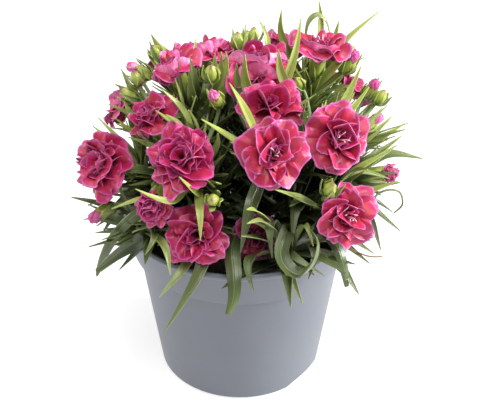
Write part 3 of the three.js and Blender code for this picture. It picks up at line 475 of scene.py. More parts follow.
# Leaves that curl or hang, each from the stem that passes nearest below its first point: the points
# of their midrib, width, tone, the point that their faces are square to, and whether their end is cut.
CURL_DROP = 10
CURLED_LEAVES = [
    (
        [
            (24, -56, 122), (20, -68, 119), (22, -76, 115), (29, -79, 112), (36, -76, 117), (38, -70, 124),
            (34, -62, 127),
        ],
        8.5, 0.36, (38, -62, 111), False,
    ),
    (
        [(38, -36, 112), (46, -48, 112), (51, -57, 105), (54, -60, 90)],
        6.5, 0.3, (-200, -160, 60), True,
    ),
    (
        [(-3, -46, 114), (-4, -62, 114), (-3, -73, 108), (-3, -80, 99), (-6, -84, 91)],
        8, 0.3, (-300, -90, 40), True,
    ),
    (
        [(66, -22, 112), (70, -25, 122), (76, -26, 126), (82, -24, 123), (84, -22, 114), (80, -20, 107)],
        2.6, 0.5, (76, 10, 100), False,
    ),
    (
        [(-36, -42, 124), (-50, -50, 128), (-62, -51, 116), (-70, -47, 98), (-74, -44, 84)],
        6, 0.35, (200, -40, -150), False,
    ),
    (
        [(-40, -42, 113), (-52, -49, 110), (-64, -53, 103), (-73, -54, 95)],
        8, 0.22, (200, -40, -150), False,
    ),
    (
        [(35, 34, 176), (35, 35, 189), (40, 36, 194), (45, 36, 190), (47, 36, 182)],
        3, 0.45, (40, 0, 170), False,
    ),
]

# Dry threads over the rim, each from the stem that passes nearest below its first point, as points.
THREADS = [[(48, -48, 112), (51, -50, 110), (64, -46, 99), (74, -40, 94)]]

# Tiers of leaves that fill the sides and the back: their azimuths, how many, the radius and height of
# their bends and of their tips, and their width.
BACK_TIERS = [
    {"azimuths": (98, 285), "count": 14, "bend": (58, 108), "tip": (80, 96), "width": 6.5},
    {"azimuths": (108, 275), "count": 10, "bend": (54, 126), "tip": (76, 124), "width": 6},
]

# A paired leaf that has no room is swung, raised or lowered, as degrees and parts of its length.
DODGES = [(0, 0, 1), (25, 0, 1), (-25, 0, 1), (0, 14, 0.85), (0, -14, 0.85), (50, 8, 0.7)]

# ---- Small tools ----------------------------------------------------------------------------------


def seeded(seed):
    """A repeatable stream of numbers from 0 to 1, the same as the solids'."""
    state = seed & MASK

    def draw():
        nonlocal state
        state = (state + SEED_STRIDE) & MASK
        mixed = ((state ^ (state >> 15)) * (1 | state)) & MASK
        mixed = (mixed + (((mixed ^ (mixed >> 7)) * (61 | mixed)) & MASK)) & MASK ^ mixed
        return ((mixed ^ (mixed >> 14)) & MASK) / (MASK + 1)

    return draw


def around(random, spread):
    """A draw from -spread / 2 to spread / 2."""
    return (random() - 0.5) * spread


def clamp(value, low=0.0, high=1.0):
    return max(low, min(high, value))


def heading(azimuth, elevation=0):
    """The unit vector with this azimuth from the front and this elevation, both in degrees."""
    azimuth, elevation = math.radians(azimuth), math.radians(elevation)
    level = math.cos(elevation)
    return Vector((math.sin(azimuth) * level, -math.cos(azimuth) * level, math.sin(elevation)))


def seat_on(place, direction):
    """The matrix that stands a turned shape at a place, with its axis along a direction."""
    return Matrix.Translation(place) @ UP.rotation_difference(direction).to_matrix().to_4x4()


class Curve:
    """A cubic Bezier curve."""

    def __init__(self, start, lower, upper, end):
        self.points = (start, lower, upper, end)

    def point(self, t):
        a, b, c, d = self.points
        s = 1 - t
        return a * s**3 + b * (3 * s * s * t) + c * (3 * s * t * t) + d * t**3

    def tangent(self, t):
        a, b, c, d = self.points
        s = 1 - t
        return ((b - a) * (s * s) + (c - b) * (2 * s * t) + (d - c) * (t * t)).normalized()

    def length(self):
        marks = [self.point(i / 200) for i in range(201)]
        return sum((after - before).length for before, after in zip(marks, marks[1:]))


def calm(bm, faces, behind, thickness):
    """Draws the back of a thin solid to its front again where a sharp fold threw it off."""
    farthest = 1.6 * thickness
    uv = bm.loops.layers.uv.verify()
    fronts = {tuple(loop[uv].uv): loop.vert for face in faces for loop in face.loops}
    for part in behind:
        if not isinstance(part, bmesh.types.BMFace):
            continue
        for loop in part.loops:
            mate = fronts.get(tuple(loop[uv].uv), loop.vert)
            thrown = loop.vert.co - mate.co
            if thrown.length > farthest:
                loop.vert.co = mate.co + thrown.normalized() * farthest


def sheet(bm, columns, rows, place, material=0, closed=False, thickness=0, back=None, tone=0.0):
    """Lays a grid where place(across, along) says, both from 0 to 1. closed joins its two sides, and
    a thickness makes it a thin solid below, with its own material on the back."""
    grid = bmesh.ops.create_grid(bm, x_segments=columns, y_segments=rows, size=0.5, calc_uvs=True)
    verts = grid["verts"]
    for vert in verts:
        vert.co = place(vert.co.x + 0.5, vert.co.y + 0.5)
    if closed:
        bmesh.ops.remove_doubles(bm, verts=verts, dist=1e-4)
        verts = [vert for vert in verts if vert.is_valid]
    faces = list({face for vert in verts for face in vert.link_faces})
    toned = bm.verts.layers.float["tone"]
    for vert in verts:
        vert[toned] = tone
    for face in faces:
        face.material_index = material
        face.smooth = True
        face.normal_update()
    if thickness:
        behind = bmesh.ops.solidify(bm, geom=faces, thickness=thickness)["geom"]
        calm(bm, faces, behind, thickness)
        for part in behind:
            if isinstance(part, bmesh.types.BMFace) and back is not None:
                part.material_index = back


def new_bmesh():
    """An empty bmesh whose sheets keep their across and along, and their tone."""
    bm = bmesh.new()
    bm.loops.layers.uv.verify()
    bm.verts.layers.float.new("tone")
    return bm


def turned(bm, profile, sides, seat, shape=None, material=0, tone=0.0):
    """A closed body turned about its seat's axis. shape(around, row) gives what is added to the
    profile's radius, as a part of it, and to its height."""
    last = len(profile) - 1

    def place(u, v):
        row = round(v * last)
        radius, height = profile[row]
        if shape:
            swell, rise = shape(u, row)
            radius, height = radius * (1 + swell), height + rise
        angle = 2 * math.pi * (u % 1)
        return seat @ Vector((radius * math.cos(angle), radius * math.sin(angle), height))

    sheet(bm, sides, last, place, material, closed=True, tone=tone)


def limb(bm, rings, sides, material):
    """A closed round limb through rings of place, tangent and radius."""
    last = len(rings) - 1
    across = Vector((0.36, 0.93, 0.05))
    frames = []
    for place, tangent, radius in rings:
        across = (across - tangent * across.dot(tangent)).normalized()
        frames.append((place, across.copy(), tangent.cross(across), radius))

    def place(u, v):
        centre, side, face, radius = frames[round(v * last)]
        angle = 2 * math.pi * (u % 1)
        return centre + side * (radius * math.cos(angle)) + face * (radius * math.sin(angle))

    sheet(bm, sides, last, place, material, closed=True)


def strand(bm, curve, steps, sides, radius, material, thinning=0):
    """A fine strand along a curve, thinner by thinning at each step and closed at both ends."""
    rings = []
    for step in range(steps + 1):
        thickness = radius - thinning * step if 0 < step < steps else 0
        rings.append((curve.point(step / steps), curve.tangent(step / steps), thickness))
    limb(bm, rings, sides, material)


def finish_piece(bm, name, materials, node):
    """Makes an object of a bmesh in millimetres, which stands for a node of the solids."""
    bmesh.ops.dissolve_degenerate(bm, dist=1e-5, edges=bm.edges)
    bmesh.ops.scale(bm, vec=(MM, MM, MM), verts=bm.verts)
    mesh = bpy.data.meshes.new(name)
    bm.to_mesh(mesh)
    bm.free()
    mesh.set_sharp_from_angle(angle=math.radians(SHARP_ANGLE))
    for material in materials:
        mesh.materials.append(material)
    piece = bpy.data.objects.new(name, mesh)
    bpy.context.scene.collection.objects.link(piece)
    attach(piece, "root")
    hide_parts(node)


# ---- Finishes -------------------------------------------------------------------------------------


class Finish:
    """One node material: small calls that add a node and give back its first output."""

    def __init__(self, name):
        self.material = bpy.data.materials.new(name)
        self.material.use_nodes = True
        self.tree = self.material.node_tree
        self.shader = self.tree.nodes["Principled BSDF"]

    def node(self, kind, inputs=(), output=0, **settings):
        node = self.tree.nodes.new(kind)
        for key, value in settings.items():
            setattr(node, key, value)
        for socket, value in dict(inputs).items():
            if isinstance(value, bpy.types.NodeSocket):
                self.tree.links.new(value, node.inputs[socket])
            else:
                node.inputs[socket].default_value = value
        return node.outputs[output]

    def math(self, operation, *values, clamped=False):
        return self.node("ShaderNodeMath", enumerate(values), operation=operation, use_clamp=clamped)

    def times(self, first, second):
        return self.math("MULTIPLY", first, second)

    def plus(self, first, second):
        return self.math("ADD", first, second)

    def minus(self, first, second):
        return self.math("SUBTRACT", first, second)

    def vector(self, operation, *values, output=0):
        return self.node("ShaderNodeVectorMath", enumerate(values), output, operation=operation)

    def step(self, value, low, high):
        """0 below low, 1 above high, and a smooth way between."""
        inputs = {"Value": value, "From Min": low, "From Max": high}
        return self.node("ShaderNodeMapRange", inputs, interpolation_type="SMOOTHSTEP")

    def across(self):
        """The piece's own across and along, from 0 to 1."""
        uv = self.node("ShaderNodeTexCoord", output="UV")
        split = self.node("ShaderNodeSeparateXYZ", {0: uv}).node
        return split.outputs[0], split.outputs[1]

    def place(self):
        """The place on the piece, in metres."""
        return self.node("ShaderNodeTexCoord", output="Object")

    def depth(self):
        """How much painted shade falls at a place: 1 in the middle of the plant, where shade falls, and 0
        near its outside.
        """
        from_middle = self.vector("SUBTRACT", self.place(), PLANT_MIDDLE)
        far = self.vector("LENGTH", self.vector("MULTIPLY", from_middle, PLANT_SHRINK), output="Value")
        return self.step(far, 0.88, 0.5)

    def tone(self):
        """The tone that each part of a piece was given when its sheet was laid."""
        return self.node("ShaderNodeAttribute", output="Fac", attribute_name="tone")

    def pair(self, x, y, z=0.0):
        return self.node("ShaderNodeCombineXYZ", {0: x, 1: y, 2: z})

    def noise(self, vector, scale, detail=3.0, roughness=0.55):
        inputs = {"Vector": vector, "Scale": scale, "Detail": detail, "Roughness": roughness}
        return self.node("ShaderNodeTexNoise", inputs)

    def ramp(self, factor, stops):
        """A colour for a factor from stops of position and colour."""
        node = self.node("ShaderNodeValToRGB", {0: factor}).node
        bar = node.color_ramp
        while len(bar.elements) < len(stops):
            bar.elements.new(0.5)
        for element, (position, colour) in zip(bar.elements, stops):
            element.position = position
            element.color = (*colour, 1)
        return node.outputs[0]

    def mix(self, factor, first, second, blend="MIX"):
        """Two colours in one, over the sockets that a Mix node has for colours."""
        node = self.tree.nodes.new("ShaderNodeMix")
        node.data_type = "RGBA"
        node.blend_type = blend
        for socket, value in ((0, factor), (6, first), (7, second)):
            if isinstance(value, bpy.types.NodeSocket):
                self.tree.links.new(value, node.inputs[socket])
            elif socket == 0:
                node.inputs[0].default_value = value
            else:
                node.inputs[socket].default_value = (*value, 1)
        return node.outputs[2]

    def bump(self, height, strength, distance):
        normal = self.node("ShaderNodeBump", {"Height": height, "Strength": strength, "Distance": distance})
        self.tree.links.new(normal, self.shader.inputs["Normal"])

    def surface(self, colour, roughness, **constants):
        self.tree.links.new(colour, self.shader.inputs["Base Color"])
        if isinstance(roughness, bpy.types.NodeSocket):
            self.tree.links.new(roughness, self.shader.inputs["Roughness"])
        else:
            self.shader.inputs["Roughness"].default_value = roughness
        for socket, value in constants.items():
            self.shader.inputs[socket.replace("_", " ")].default_value = value
        return self.material


# The middle of the plant in metres, and the scale that brings its outside to a distance of about 1, for the
# painted shade in the plant's middle.
PLANT_MIDDLE = (0.0, 0.0, 0.1)
PLANT_SHRINK = (12.0, 12.0, 10.0)

# Colours in linear light.
CRIMSON = (0.42, 0.013, 0.046)
CLAW_SHADE_CRIMSON = (0.14, 0.002, 0.02)
CLARET = (0.24, 0.006, 0.026)
MAGENTA = (0.46, 0.01, 0.15)
COOL_CRIMSON = (0.42, 0.01, 0.14)
VEIN_CRIMSON = (0.5, 0.06, 0.13)
BLUSH_CRIMSON = (0.46, 0.03, 0.15)
GLOSS_HIGHLIGHT_PINK = (0.6, 0.24, 0.42)
LILAC_PINK = (0.52, 0.14, 0.34)
PALE_PINK = (0.6, 0.26, 0.44)
SHADED_PETAL = (0.3, 0.25, 0.28)
BACK_VEIN = (0.6, 0.03, 0.2)
BACK_HIGHLIGHT_PINK = (0.85, 0.5, 0.68)
SHEEN_PINK = (1, 0.6, 0.8, 1)
TIP_CROWN = (0.55, 0.03, 0.22)
TIP_STREAK = (0.5, 0.03, 0.17)
RIB_GREEN = (0.3, 0.38, 0.14)
HEM_GREEN = (0.32, 0.38, 0.16)
FOOT_GREEN = (0.2, 0.26, 0.1)
SHADED_LEAF = (0.2, 0.22, 0.2)
VEIN_LIGHT = (1.5, 1.45, 1.4)
STEM_LINE = (0.33, 0.42, 0.2)
CALYX_LINE = (0.12, 0.21, 0.04)
SCUFF_GREY = (0.42, 0.44, 0.48)

# Colours along a ramp, as position and colour.
# Painted shade: the face darkens towards the claw, deep in the bloom.
PETAL_FACE = [(0.15, CLAW_SHADE_CRIMSON), (0.42, CLARET), (0.62, CRIMSON), (0.78, CRIMSON), (0.92, MAGENTA)]
PETAL_BACK = [(0.0, (0.5, 0.3, 0.3)), (0.3, (0.64, 0.05, 0.23)), (1.0, (0.8, 0.18, 0.4))]
STYLE = [(0.0, (0.7, 0.55, 0.35)), (0.6, (0.85, 0.5, 0.6)), (1.0, (0.9, 0.72, 0.78))]
PALE_FURL = [
    (0.0, (0.36, 0.01, 0.12)),
    (0.1, (0.6, 0.1, 0.34)),
    (0.4, (0.78, 0.5, 0.58)),
    (0.8, (0.72, 0.3, 0.48)),
    (0.97, (0.56, 0.03, 0.24)),
]
FULL_FURL = [(0.0, (0.28, 0.01, 0.08)), (0.3, (0.52, 0.05, 0.25)), (0.9, (0.6, 0.12, 0.36))]
LEAF = [
    (0.0, (0.036, 0.052, 0.02)),
    (0.35, (0.112, 0.15, 0.048)),
    (0.65, (0.22, 0.27, 0.08)),
    (1.0, (0.36, 0.43, 0.1)),
]
STEM = [(0.3, (0.13, 0.21, 0.06)), (0.7, (0.24, 0.33, 0.12))]
CALYX = [
    (0.0, (0.14, 0.22, 0.045)),
    (0.35, (0.32, 0.42, 0.06)),
    (0.72, (0.46, 0.5, 0.1)),
    (0.88, (0.34, 0.24, 0.1)),
    (1.0, (0.16, 0.06, 0.04)),
]
PLASTIC = [(0.3, (0.138, 0.15, 0.18)), (0.7, (0.164, 0.177, 0.206))]
PEAT = [(0.3, (0.008, 0.006, 0.005)), (0.55, (0.028, 0.019, 0.013)), (0.8, (0.07, 0.045, 0.028))]
DRY_FIBRE = [(0.3, (0.09, 0.05, 0.025)), (0.7, (0.22, 0.14, 0.07))]
FLOOR_GREY = [(0.0, (0.4, 0.4, 0.4)), (1.0, (0.43, 0.43, 0.43))]


def petal_margin(finish, u, v, tone, fan):
    """How strongly a petal's pale margin shows: a wandering line at its rim, and thin at its sides."""
    wander = finish.times(finish.minus(finish.noise(fan, 0.8, 2.0), 0.5), 0.08)
    waved = finish.noise(finish.pair(finish.times(u, 5.0), finish.times(tone, 9.0)), 1.2, 1.0)
    wander = finish.plus(wander, finish.times(finish.minus(waved, 0.5), 0.1))
    reach = finish.plus(v, wander)
    sideways = finish.math("ABSOLUTE", finish.math("MULTIPLY_ADD", u, 2.0, -1.0))
    side_edge = finish.times(finish.step(sideways, 0.88, 0.97), finish.step(v, 0.35, 0.7))
    margin = finish.math("MAXIMUM", finish.step(reach, 0.9, 0.945), side_edge)
    strength = finish.noise(finish.pair(finish.times(u, 4.0), tone), 1.5, 2.0)
    return finish.times(margin, finish.math("MULTIPLY_ADD", finish.step(strength, 0.35, 0.6), 0.35, 0.65))


def petal_inside(finish, u, v, tone, veins, patches):
    """The colour of a petal's face: dark with painted shade at the claw and crimson on the blade, with
    painted highlights, and cooler and paler on the inner petals."""
    along = finish.plus(v, finish.times(finish.step(tone, 1.0, 1.6), 0.3))
    face = finish.ramp(along, PETAL_FACE)
    cooler = finish.times(finish.step(tone, 0.35, 0.95), finish.step(patches, 0.3, 0.6))
    face = finish.mix(finish.times(cooler, 0.5), face, finish.mix(0.5, face, COOL_CRIMSON))
    face = finish.mix(finish.times(finish.step(veins, 0.5, 0.75), 0.6), face, VEIN_CRIMSON)
    mottle = finish.times(finish.step(patches, 0.5, 0.66), finish.step(v, 0.3, 0.9))
    face = finish.mix(finish.times(mottle, finish.times(tone, 0.6)), face, BLUSH_CRIMSON)
    # Painted highlights: silver-pink streaks towards the margin, where light glints on the face.
    painted_highlight = finish.noise(finish.pair(finish.times(u, 5.0), finish.times(v, 2.0), tone), 1.6, 2.0)
    painted_highlight = finish.times(finish.step(painted_highlight, 0.58, 0.7), finish.step(v, 0.45, 0.8))
    face = finish.mix(finish.times(painted_highlight, 0.5), face, GLOSS_HIGHLIGHT_PINK)
    pale = finish.times(finish.step(tone, 1.1, 1.9), finish.step(v, 0.35, 0.95))
    return finish.mix(finish.times(pale, 0.45), face, LILAC_PINK)


def petal_outside(finish, v, veins, patches):
    """The colour of a petal's back: buff at the claw, then pink with deeper veins and pale patches of
    painted highlight.
    """
    face = finish.ramp(v, PETAL_BACK)
    face = finish.mix(finish.times(finish.step(veins, 0.42, 0.7), 0.85), face, BACK_VEIN)
    # Painted highlights: pale pink patches where light glints on the back.
    mottle = finish.times(finish.step(patches, 0.5, 0.7), 0.5)
    return finish.mix(mottle, face, BACK_HIGHLIGHT_PINK)


def petal_finish(name, is_back):
    """Velvety petal: veins that fan out of the claw, a thin pale margin, and a paler back."""
    finish = Finish(name)
    u, v = finish.across()
    tone = finish.tone()
    fan = finish.pair(finish.times(u, 30.0), finish.times(v, 1.5), finish.times(tone, 9.0))
    veins = finish.noise(fan, 1.0, 4.0, 0.6)
    patches = finish.noise(finish.place(), 210.0, 3.0)
    margin = petal_margin(finish, u, v, tone, fan)
    if is_back:
        face = petal_outside(finish, v, veins, patches)
    else:
        face = petal_inside(finish, u, v, tone, veins, patches)
    edge = finish.mix(finish.step(veins, 0.4, 0.8), LILAC_PINK, PALE_PINK)
    weaker = finish.minus(0.85, finish.times(finish.step(tone, 0.45, 1.0), 0.45))
    colour = finish.mix(finish.times(margin, weaker), face, edge)
    # Painted shade: petals deep in the middle of the plant are darkened.
    colour = finish.mix(finish.depth(), colour, finish.mix(1.0, colour, SHADED_PETAL, "MULTIPLY"))
    finish.bump(veins, 0.5, 0.0004)
    return finish.surface(colour, 0.42, Sheen_Weight=0.12, Sheen_Roughness=0.35, Sheen_Tint=SHEEN_PINK)


def style_finish():
    """Styles and stamens, cream at the foot and pale pink at the tip."""
    finish = Finish("pale_styles")
    _, v = finish.across()
    return finish.surface(finish.ramp(v, STYLE), 0.5)


def furled_finish():
    """Petals still furled in a bud: their outsides wound round each other, pale with magenta hems."""
    finish = Finish("furled_petals")
    u, v = finish.across()
    wound = finish.plus(finish.times(u, 3.0), finish.times(v, 1.4))
    fold = finish.math("FRACT", wound)
    streaks = finish.noise(finish.pair(finish.times(wound, 11.0), finish.times(v, 2.0)), 1.0)
    pale = finish.ramp(fold, PALE_FURL)
    full = finish.ramp(fold, FULL_FURL)
    colour = finish.mix(finish.tone(), pale, full)
    colour = finish.mix(finish.times(finish.step(v, 0.6, 0.9), 0.7), colour, TIP_CROWN)
    colour = finish.mix(finish.times(finish.step(streaks, 0.45, 0.75), 0.4), colour, TIP_STREAK)
    finish.bump(streaks, 0.4, 0.0004)
    return finish.surface(colour, 0.4, Sheen_Weight=0.1)


def leaf_finish():
    """Satin leaf: parallel veins, a paler midrib and base, its tone from deep green to lime, and painted
    shade.
    """
    finish = Finish("dianthus_leaf")
    u, v = finish.across()
    tone = finish.tone()
    drift = finish.times(finish.minus(finish.noise(finish.place(), 60.0, 2.0), 0.5), 0.25)
    # Painted shade: leaves are darker low in the plant and towards their base, and lighter high up and at
    # their tip.
    height = finish.node("ShaderNodeSeparateXYZ", {0: finish.place()}, output="Z")
    up = finish.times(finish.minus(finish.step(height, 0.1, 0.19), 0.6), 0.36)
    rise = finish.plus(finish.times(finish.minus(v, 0.45), 0.34), up)
    tone = finish.math("ADD", finish.plus(tone, drift), rise, clamped=True)
    colour = finish.ramp(tone, LEAF)
    grain = finish.pair(finish.times(u, 15.0), finish.times(v, 1.2), finish.times(tone, 7.0))
    veins = finish.noise(grain, 1.0, 3.0, 0.6)
    lighter = finish.mix(1.0, colour, VEIN_LIGHT, "MULTIPLY")
    colour = finish.mix(finish.times(finish.step(veins, 0.35, 0.7), 0.4), colour, lighter)
    middle = finish.math("ABSOLUTE", finish.minus(u, 0.5))
    rib = finish.step(middle, 0.055, 0.015)
    colour = finish.mix(finish.times(rib, 0.28), colour, RIB_GREEN)
    colour = finish.mix(finish.times(finish.step(middle, 0.46, 0.5), 0.14), colour, HEM_GREEN)
    colour = finish.mix(finish.times(finish.step(v, 0.14, 0.0), 0.3), colour, FOOT_GREEN)
    # Painted shade: leaves deep in the middle of the plant are darkened.
    colour = finish.mix(finish.depth(), colour, finish.mix(1.0, colour, SHADED_LEAF, "MULTIPLY"))
    finish.bump(finish.plus(finish.times(veins, 0.6), finish.times(rib, -0.8)), 0.6, 0.0004)
    shine = finish.math("MULTIPLY_ADD", veins, 0.2, 0.2)
    return finish.surface(colour, shine, Specular_IOR_Level=0.6)


def stem_finish():
    """Waxy stem skin, pale green with fine lengthwise lines."""
    finish = Finish("waxy_stem")
    u, v = finish.across()
    lines = finish.noise(finish.pair(finish.times(u, 14.0), finish.times(v, 6.0)), 1.0)
    wax = finish.noise(finish.place(), 90.0, 3.0)
    colour = finish.ramp(wax, STEM)
    colour = finish.mix(finish.times(finish.step(lines, 0.4, 0.7), 0.4), colour, STEM_LINE)
    finish.bump(lines, 0.4, 0.0003)
    return finish.surface(colour, 0.48)


def calyx_finish():
    """Ribbed calyx and bud skin, lime with a brownish point."""
    finish = Finish("calyx_skin")
    u, v = finish.across()
    lines = finish.noise(finish.pair(finish.times(u, 40.0), finish.times(v, 2.5)), 1.0, 3.0)
    mottle = finish.noise(finish.place(), 220.0, 2.0)
    reach = finish.plus(v, finish.times(finish.minus(mottle, 0.5), 0.3))
    colour = finish.ramp(reach, CALYX)
    colour = finish.mix(finish.times(finish.step(lines, 0.42, 0.7), 0.55), colour, CALYX_LINE)
    finish.bump(lines, 0.6, 0.0004)
    return finish.surface(colour, 0.27, Specular_IOR_Level=0.6)


def pot_finish():
    """Blue-grey moulded plastic, satin, with a fine grain and a few scuffs."""
    finish = Finish("moulded_plastic")
    place = finish.place()
    cloud = finish.noise(place, 14.0, 4.0)
    grain = finish.noise(place, 2600.0, 2.0)
    scuffs = finish.step(finish.noise(place, 55.0, 6.0, 0.75), 0.62, 0.78)
    colour = finish.ramp(cloud, PLASTIC)
    colour = finish.mix(finish.times(scuffs, 0.18), colour, SCUFF_GREY)
    finish.bump(finish.plus(finish.times(grain, 0.5), finish.times(scuffs, 0.2)), 0.25, 0.0002)
    shine = finish.math("MULTIPLY_ADD", cloud, 0.12, 0.4)
    return finish.surface(colour, shine, Specular_IOR_Level=0.45)


def peat_finish():
    """Damp peat, nearly black, with browner clods and grit."""
    finish = Finish("damp_peat")
    place = finish.place()
    clods = finish.noise(place, 150.0, 6.0, 0.7)
    grit = finish.noise(place, 900.0, 3.0)
    colour = finish.ramp(clods, PEAT)
    finish.bump(finish.plus(clods, finish.times(grit, 0.4)), 0.9, 0.0012)
    return finish.surface(colour, 0.95)


def fibre_finish(name):
    """Dry plant fibre, in mixed browns."""
    finish = Finish(name)
    shade = finish.noise(finish.place(), 120.0, 2.0)
    return finish.surface(finish.ramp(shade, DRY_FIBRE), 0.9)


# ---- Pot ------------------------------------------------------------------------------------------

SHOULDER_HEIGHT = POT_HEIGHT - POT_BAND_HEIGHT
WALL_SLOPE = (POT_SHOULDER_RADIUS - POT_FOOT_RADIUS) / SHOULDER_HEIGHT
FLOOR_TOP = FOOT_CHANNEL_HEIGHT + POT_WALL


def spun(profile, steps):
    """A closed skin spun about +Z from radius and height pairs that start and end on the axis."""
    bm = bmesh.new()
    verts = [bm.verts.new((radius, 0, height)) for radius, height in profile]
    edges = [bm.edges.new(pair) for pair in zip(verts, verts[1:])]
    bmesh.ops.spin(
        bm, geom=verts + edges, cent=(0, 0, 0), axis=(0, 0, 1), angle=2 * math.pi, steps=steps,
        use_merge=True,
    )
    bmesh.ops.remove_doubles(bm, verts=bm.verts, dist=1e-3)
    bmesh.ops.dissolve_degenerate(bm, dist=1e-4, edges=bm.edges)
    bmesh.ops.recalc_face_normals(bm, faces=bm.faces)
    return bm


def cut(bm, cutter):
    """Takes one bmesh out of another with a Boolean modifier that is applied at once."""
    objects = []
    for name, shape in (("cut_body", bm), ("cutter", cutter)):
        mesh = bpy.data.meshes.new(name)
        shape.to_mesh(mesh)
        objects.append(bpy.data.objects.new(name, mesh))
        bpy.context.scene.collection.objects.link(objects[-1])
    body, tool = objects
    modifier = body.modifiers.new("cut", "BOOLEAN")
    modifier.operation = "DIFFERENCE"
    modifier.solver = "EXACT"
    modifier.object = tool
    result = body.evaluated_get(bpy.context.evaluated_depsgraph_get()).to_mesh()
    bm.clear()
    bm.from_mesh(result)
    for one in objects:
        bpy.data.objects.remove(one)


def drill(bm, radius, sides, seat):
    """Adds a round bar to a cutter, and gives its vertices."""
    bar = bmesh.ops.create_cone(
        bm, cap_ends=True, segments=sides, radius1=radius, radius2=radius, depth=DRILL_LENGTH, matrix=seat
    )
    return bar["verts"]


def make_pot():
    """The pot: spun, its corners rounded, and cut by its drain holes and the notches at its foot."""
    profile = [
        (0, 0),
        (FOOT_CHANNEL_INNER, 0),
        (FOOT_CHANNEL_INNER + 1.5, FOOT_CHANNEL_HEIGHT),
        (FOOT_CHANNEL_OUTER, FOOT_CHANNEL_HEIGHT),
        (FOOT_CHANNEL_OUTER + 1.5, 0),
        (POT_FOOT_RADIUS - 1.6, 0),
        (POT_FOOT_RADIUS, 1.4),
        (POT_SHOULDER_RADIUS, SHOULDER_HEIGHT),
        (POT_BAND_RADIUS, SHOULDER_HEIGHT + 0.6),
        (POT_RIM_RADIUS - 1.5, POT_HEIGHT - 4.2),
        (POT_RIM_RADIUS - 0.4, POT_HEIGHT - 3.2),
        (POT_RIM_RADIUS, POT_HEIGHT - 1.6),
        (POT_RIM_RADIUS - 0.9, POT_HEIGHT),
        (POT_RIM_RADIUS - POT_WALL - 1.0, POT_HEIGHT - 0.7),
        (POT_BAND_RADIUS - POT_WALL, SHOULDER_HEIGHT + 2.4),
        (POT_SHOULDER_RADIUS - POT_WALL, SHOULDER_HEIGHT - 0.6),
        (POT_FOOT_RADIUS - POT_WALL + WALL_SLOPE * 6, 6),
        (POT_FOOT_RADIUS - POT_WALL - 1.4, FLOOR_TOP),
        (0, FLOOR_TOP),
    ]
    bm = spun(profile, POT_STEPS)
    corners = [edge for edge in bm.edges if edge.is_manifold and edge.calc_face_angle() > 0.3]
    bmesh.ops.bevel(bm, geom=corners, offset=0.4, segments=3, affect="EDGES", profile=0.5, material=-1)
    cutter = bmesh.new()
    for hole in range(DRAIN_HOLE_COUNT):
        centre = heading(360 / DRAIN_HOLE_COUNT * (hole + 0.5)) * DRAIN_HOLE_CIRCLE
        drill(cutter, DRAIN_HOLE_RADIUS, DRAIN_HOLE_SIDES, Matrix.Translation(centre))
    for azimuth in DRAIN_NOTCH_AZIMUTHS:
        outwards = heading(azimuth)
        lie = UP.rotation_difference(outwards).to_matrix().to_4x4()
        middle = outwards * (POT_FOOT_RADIUS - 1.5)
        turned_out = Matrix.Translation(middle) @ lie
        arch = drill(cutter, DRAIN_NOTCH_WIDTH / 2, DRAIN_NOTCH_SIDES, turned_out)
        flatten = (1, 1, 2 * DRAIN_NOTCH_HEIGHT / DRAIN_NOTCH_WIDTH)
        bmesh.ops.scale(cutter, vec=flatten, verts=arch)
    cut(bm, cutter)
    cutter.free()
    for face in bm.faces:
        face.smooth = True
    finish_piece(bm, "nursery_pot", [pot_finish()], "pot")


# ---- Soil -----------------------------------------------------------------------------------------


def peat_radius(height):
    """The radius of the peat where it meets the pot's wall at a height."""
    if height < SHOULDER_HEIGHT:
        return POT_FOOT_RADIUS - POT_WALL - SOIL_GAP + WALL_SLOPE * (height - 1)
    flare = (POT_RIM_RADIUS - POT_BAND_RADIUS - 0.6) / (POT_BAND_HEIGHT - 2.8)
    return POT_BAND_RADIUS - POT_WALL - SOIL_GAP - 0.2 + flare * (height - SHOULDER_HEIGHT - 2.4)


def peat_height(x, y):
    """The height of the peat's top at a place, with its lumps."""
    lump = SOIL_LUMP * (math.sin(x * 0.31 + y * 0.17) + math.cos(y * 0.37 - x * 0.11)) - 0.5
    return SOIL_LEVEL + lump + 0.8 * noise.fractal(Vector((x, y, 0)) * 0.22, 0.7, 2.2, 3)


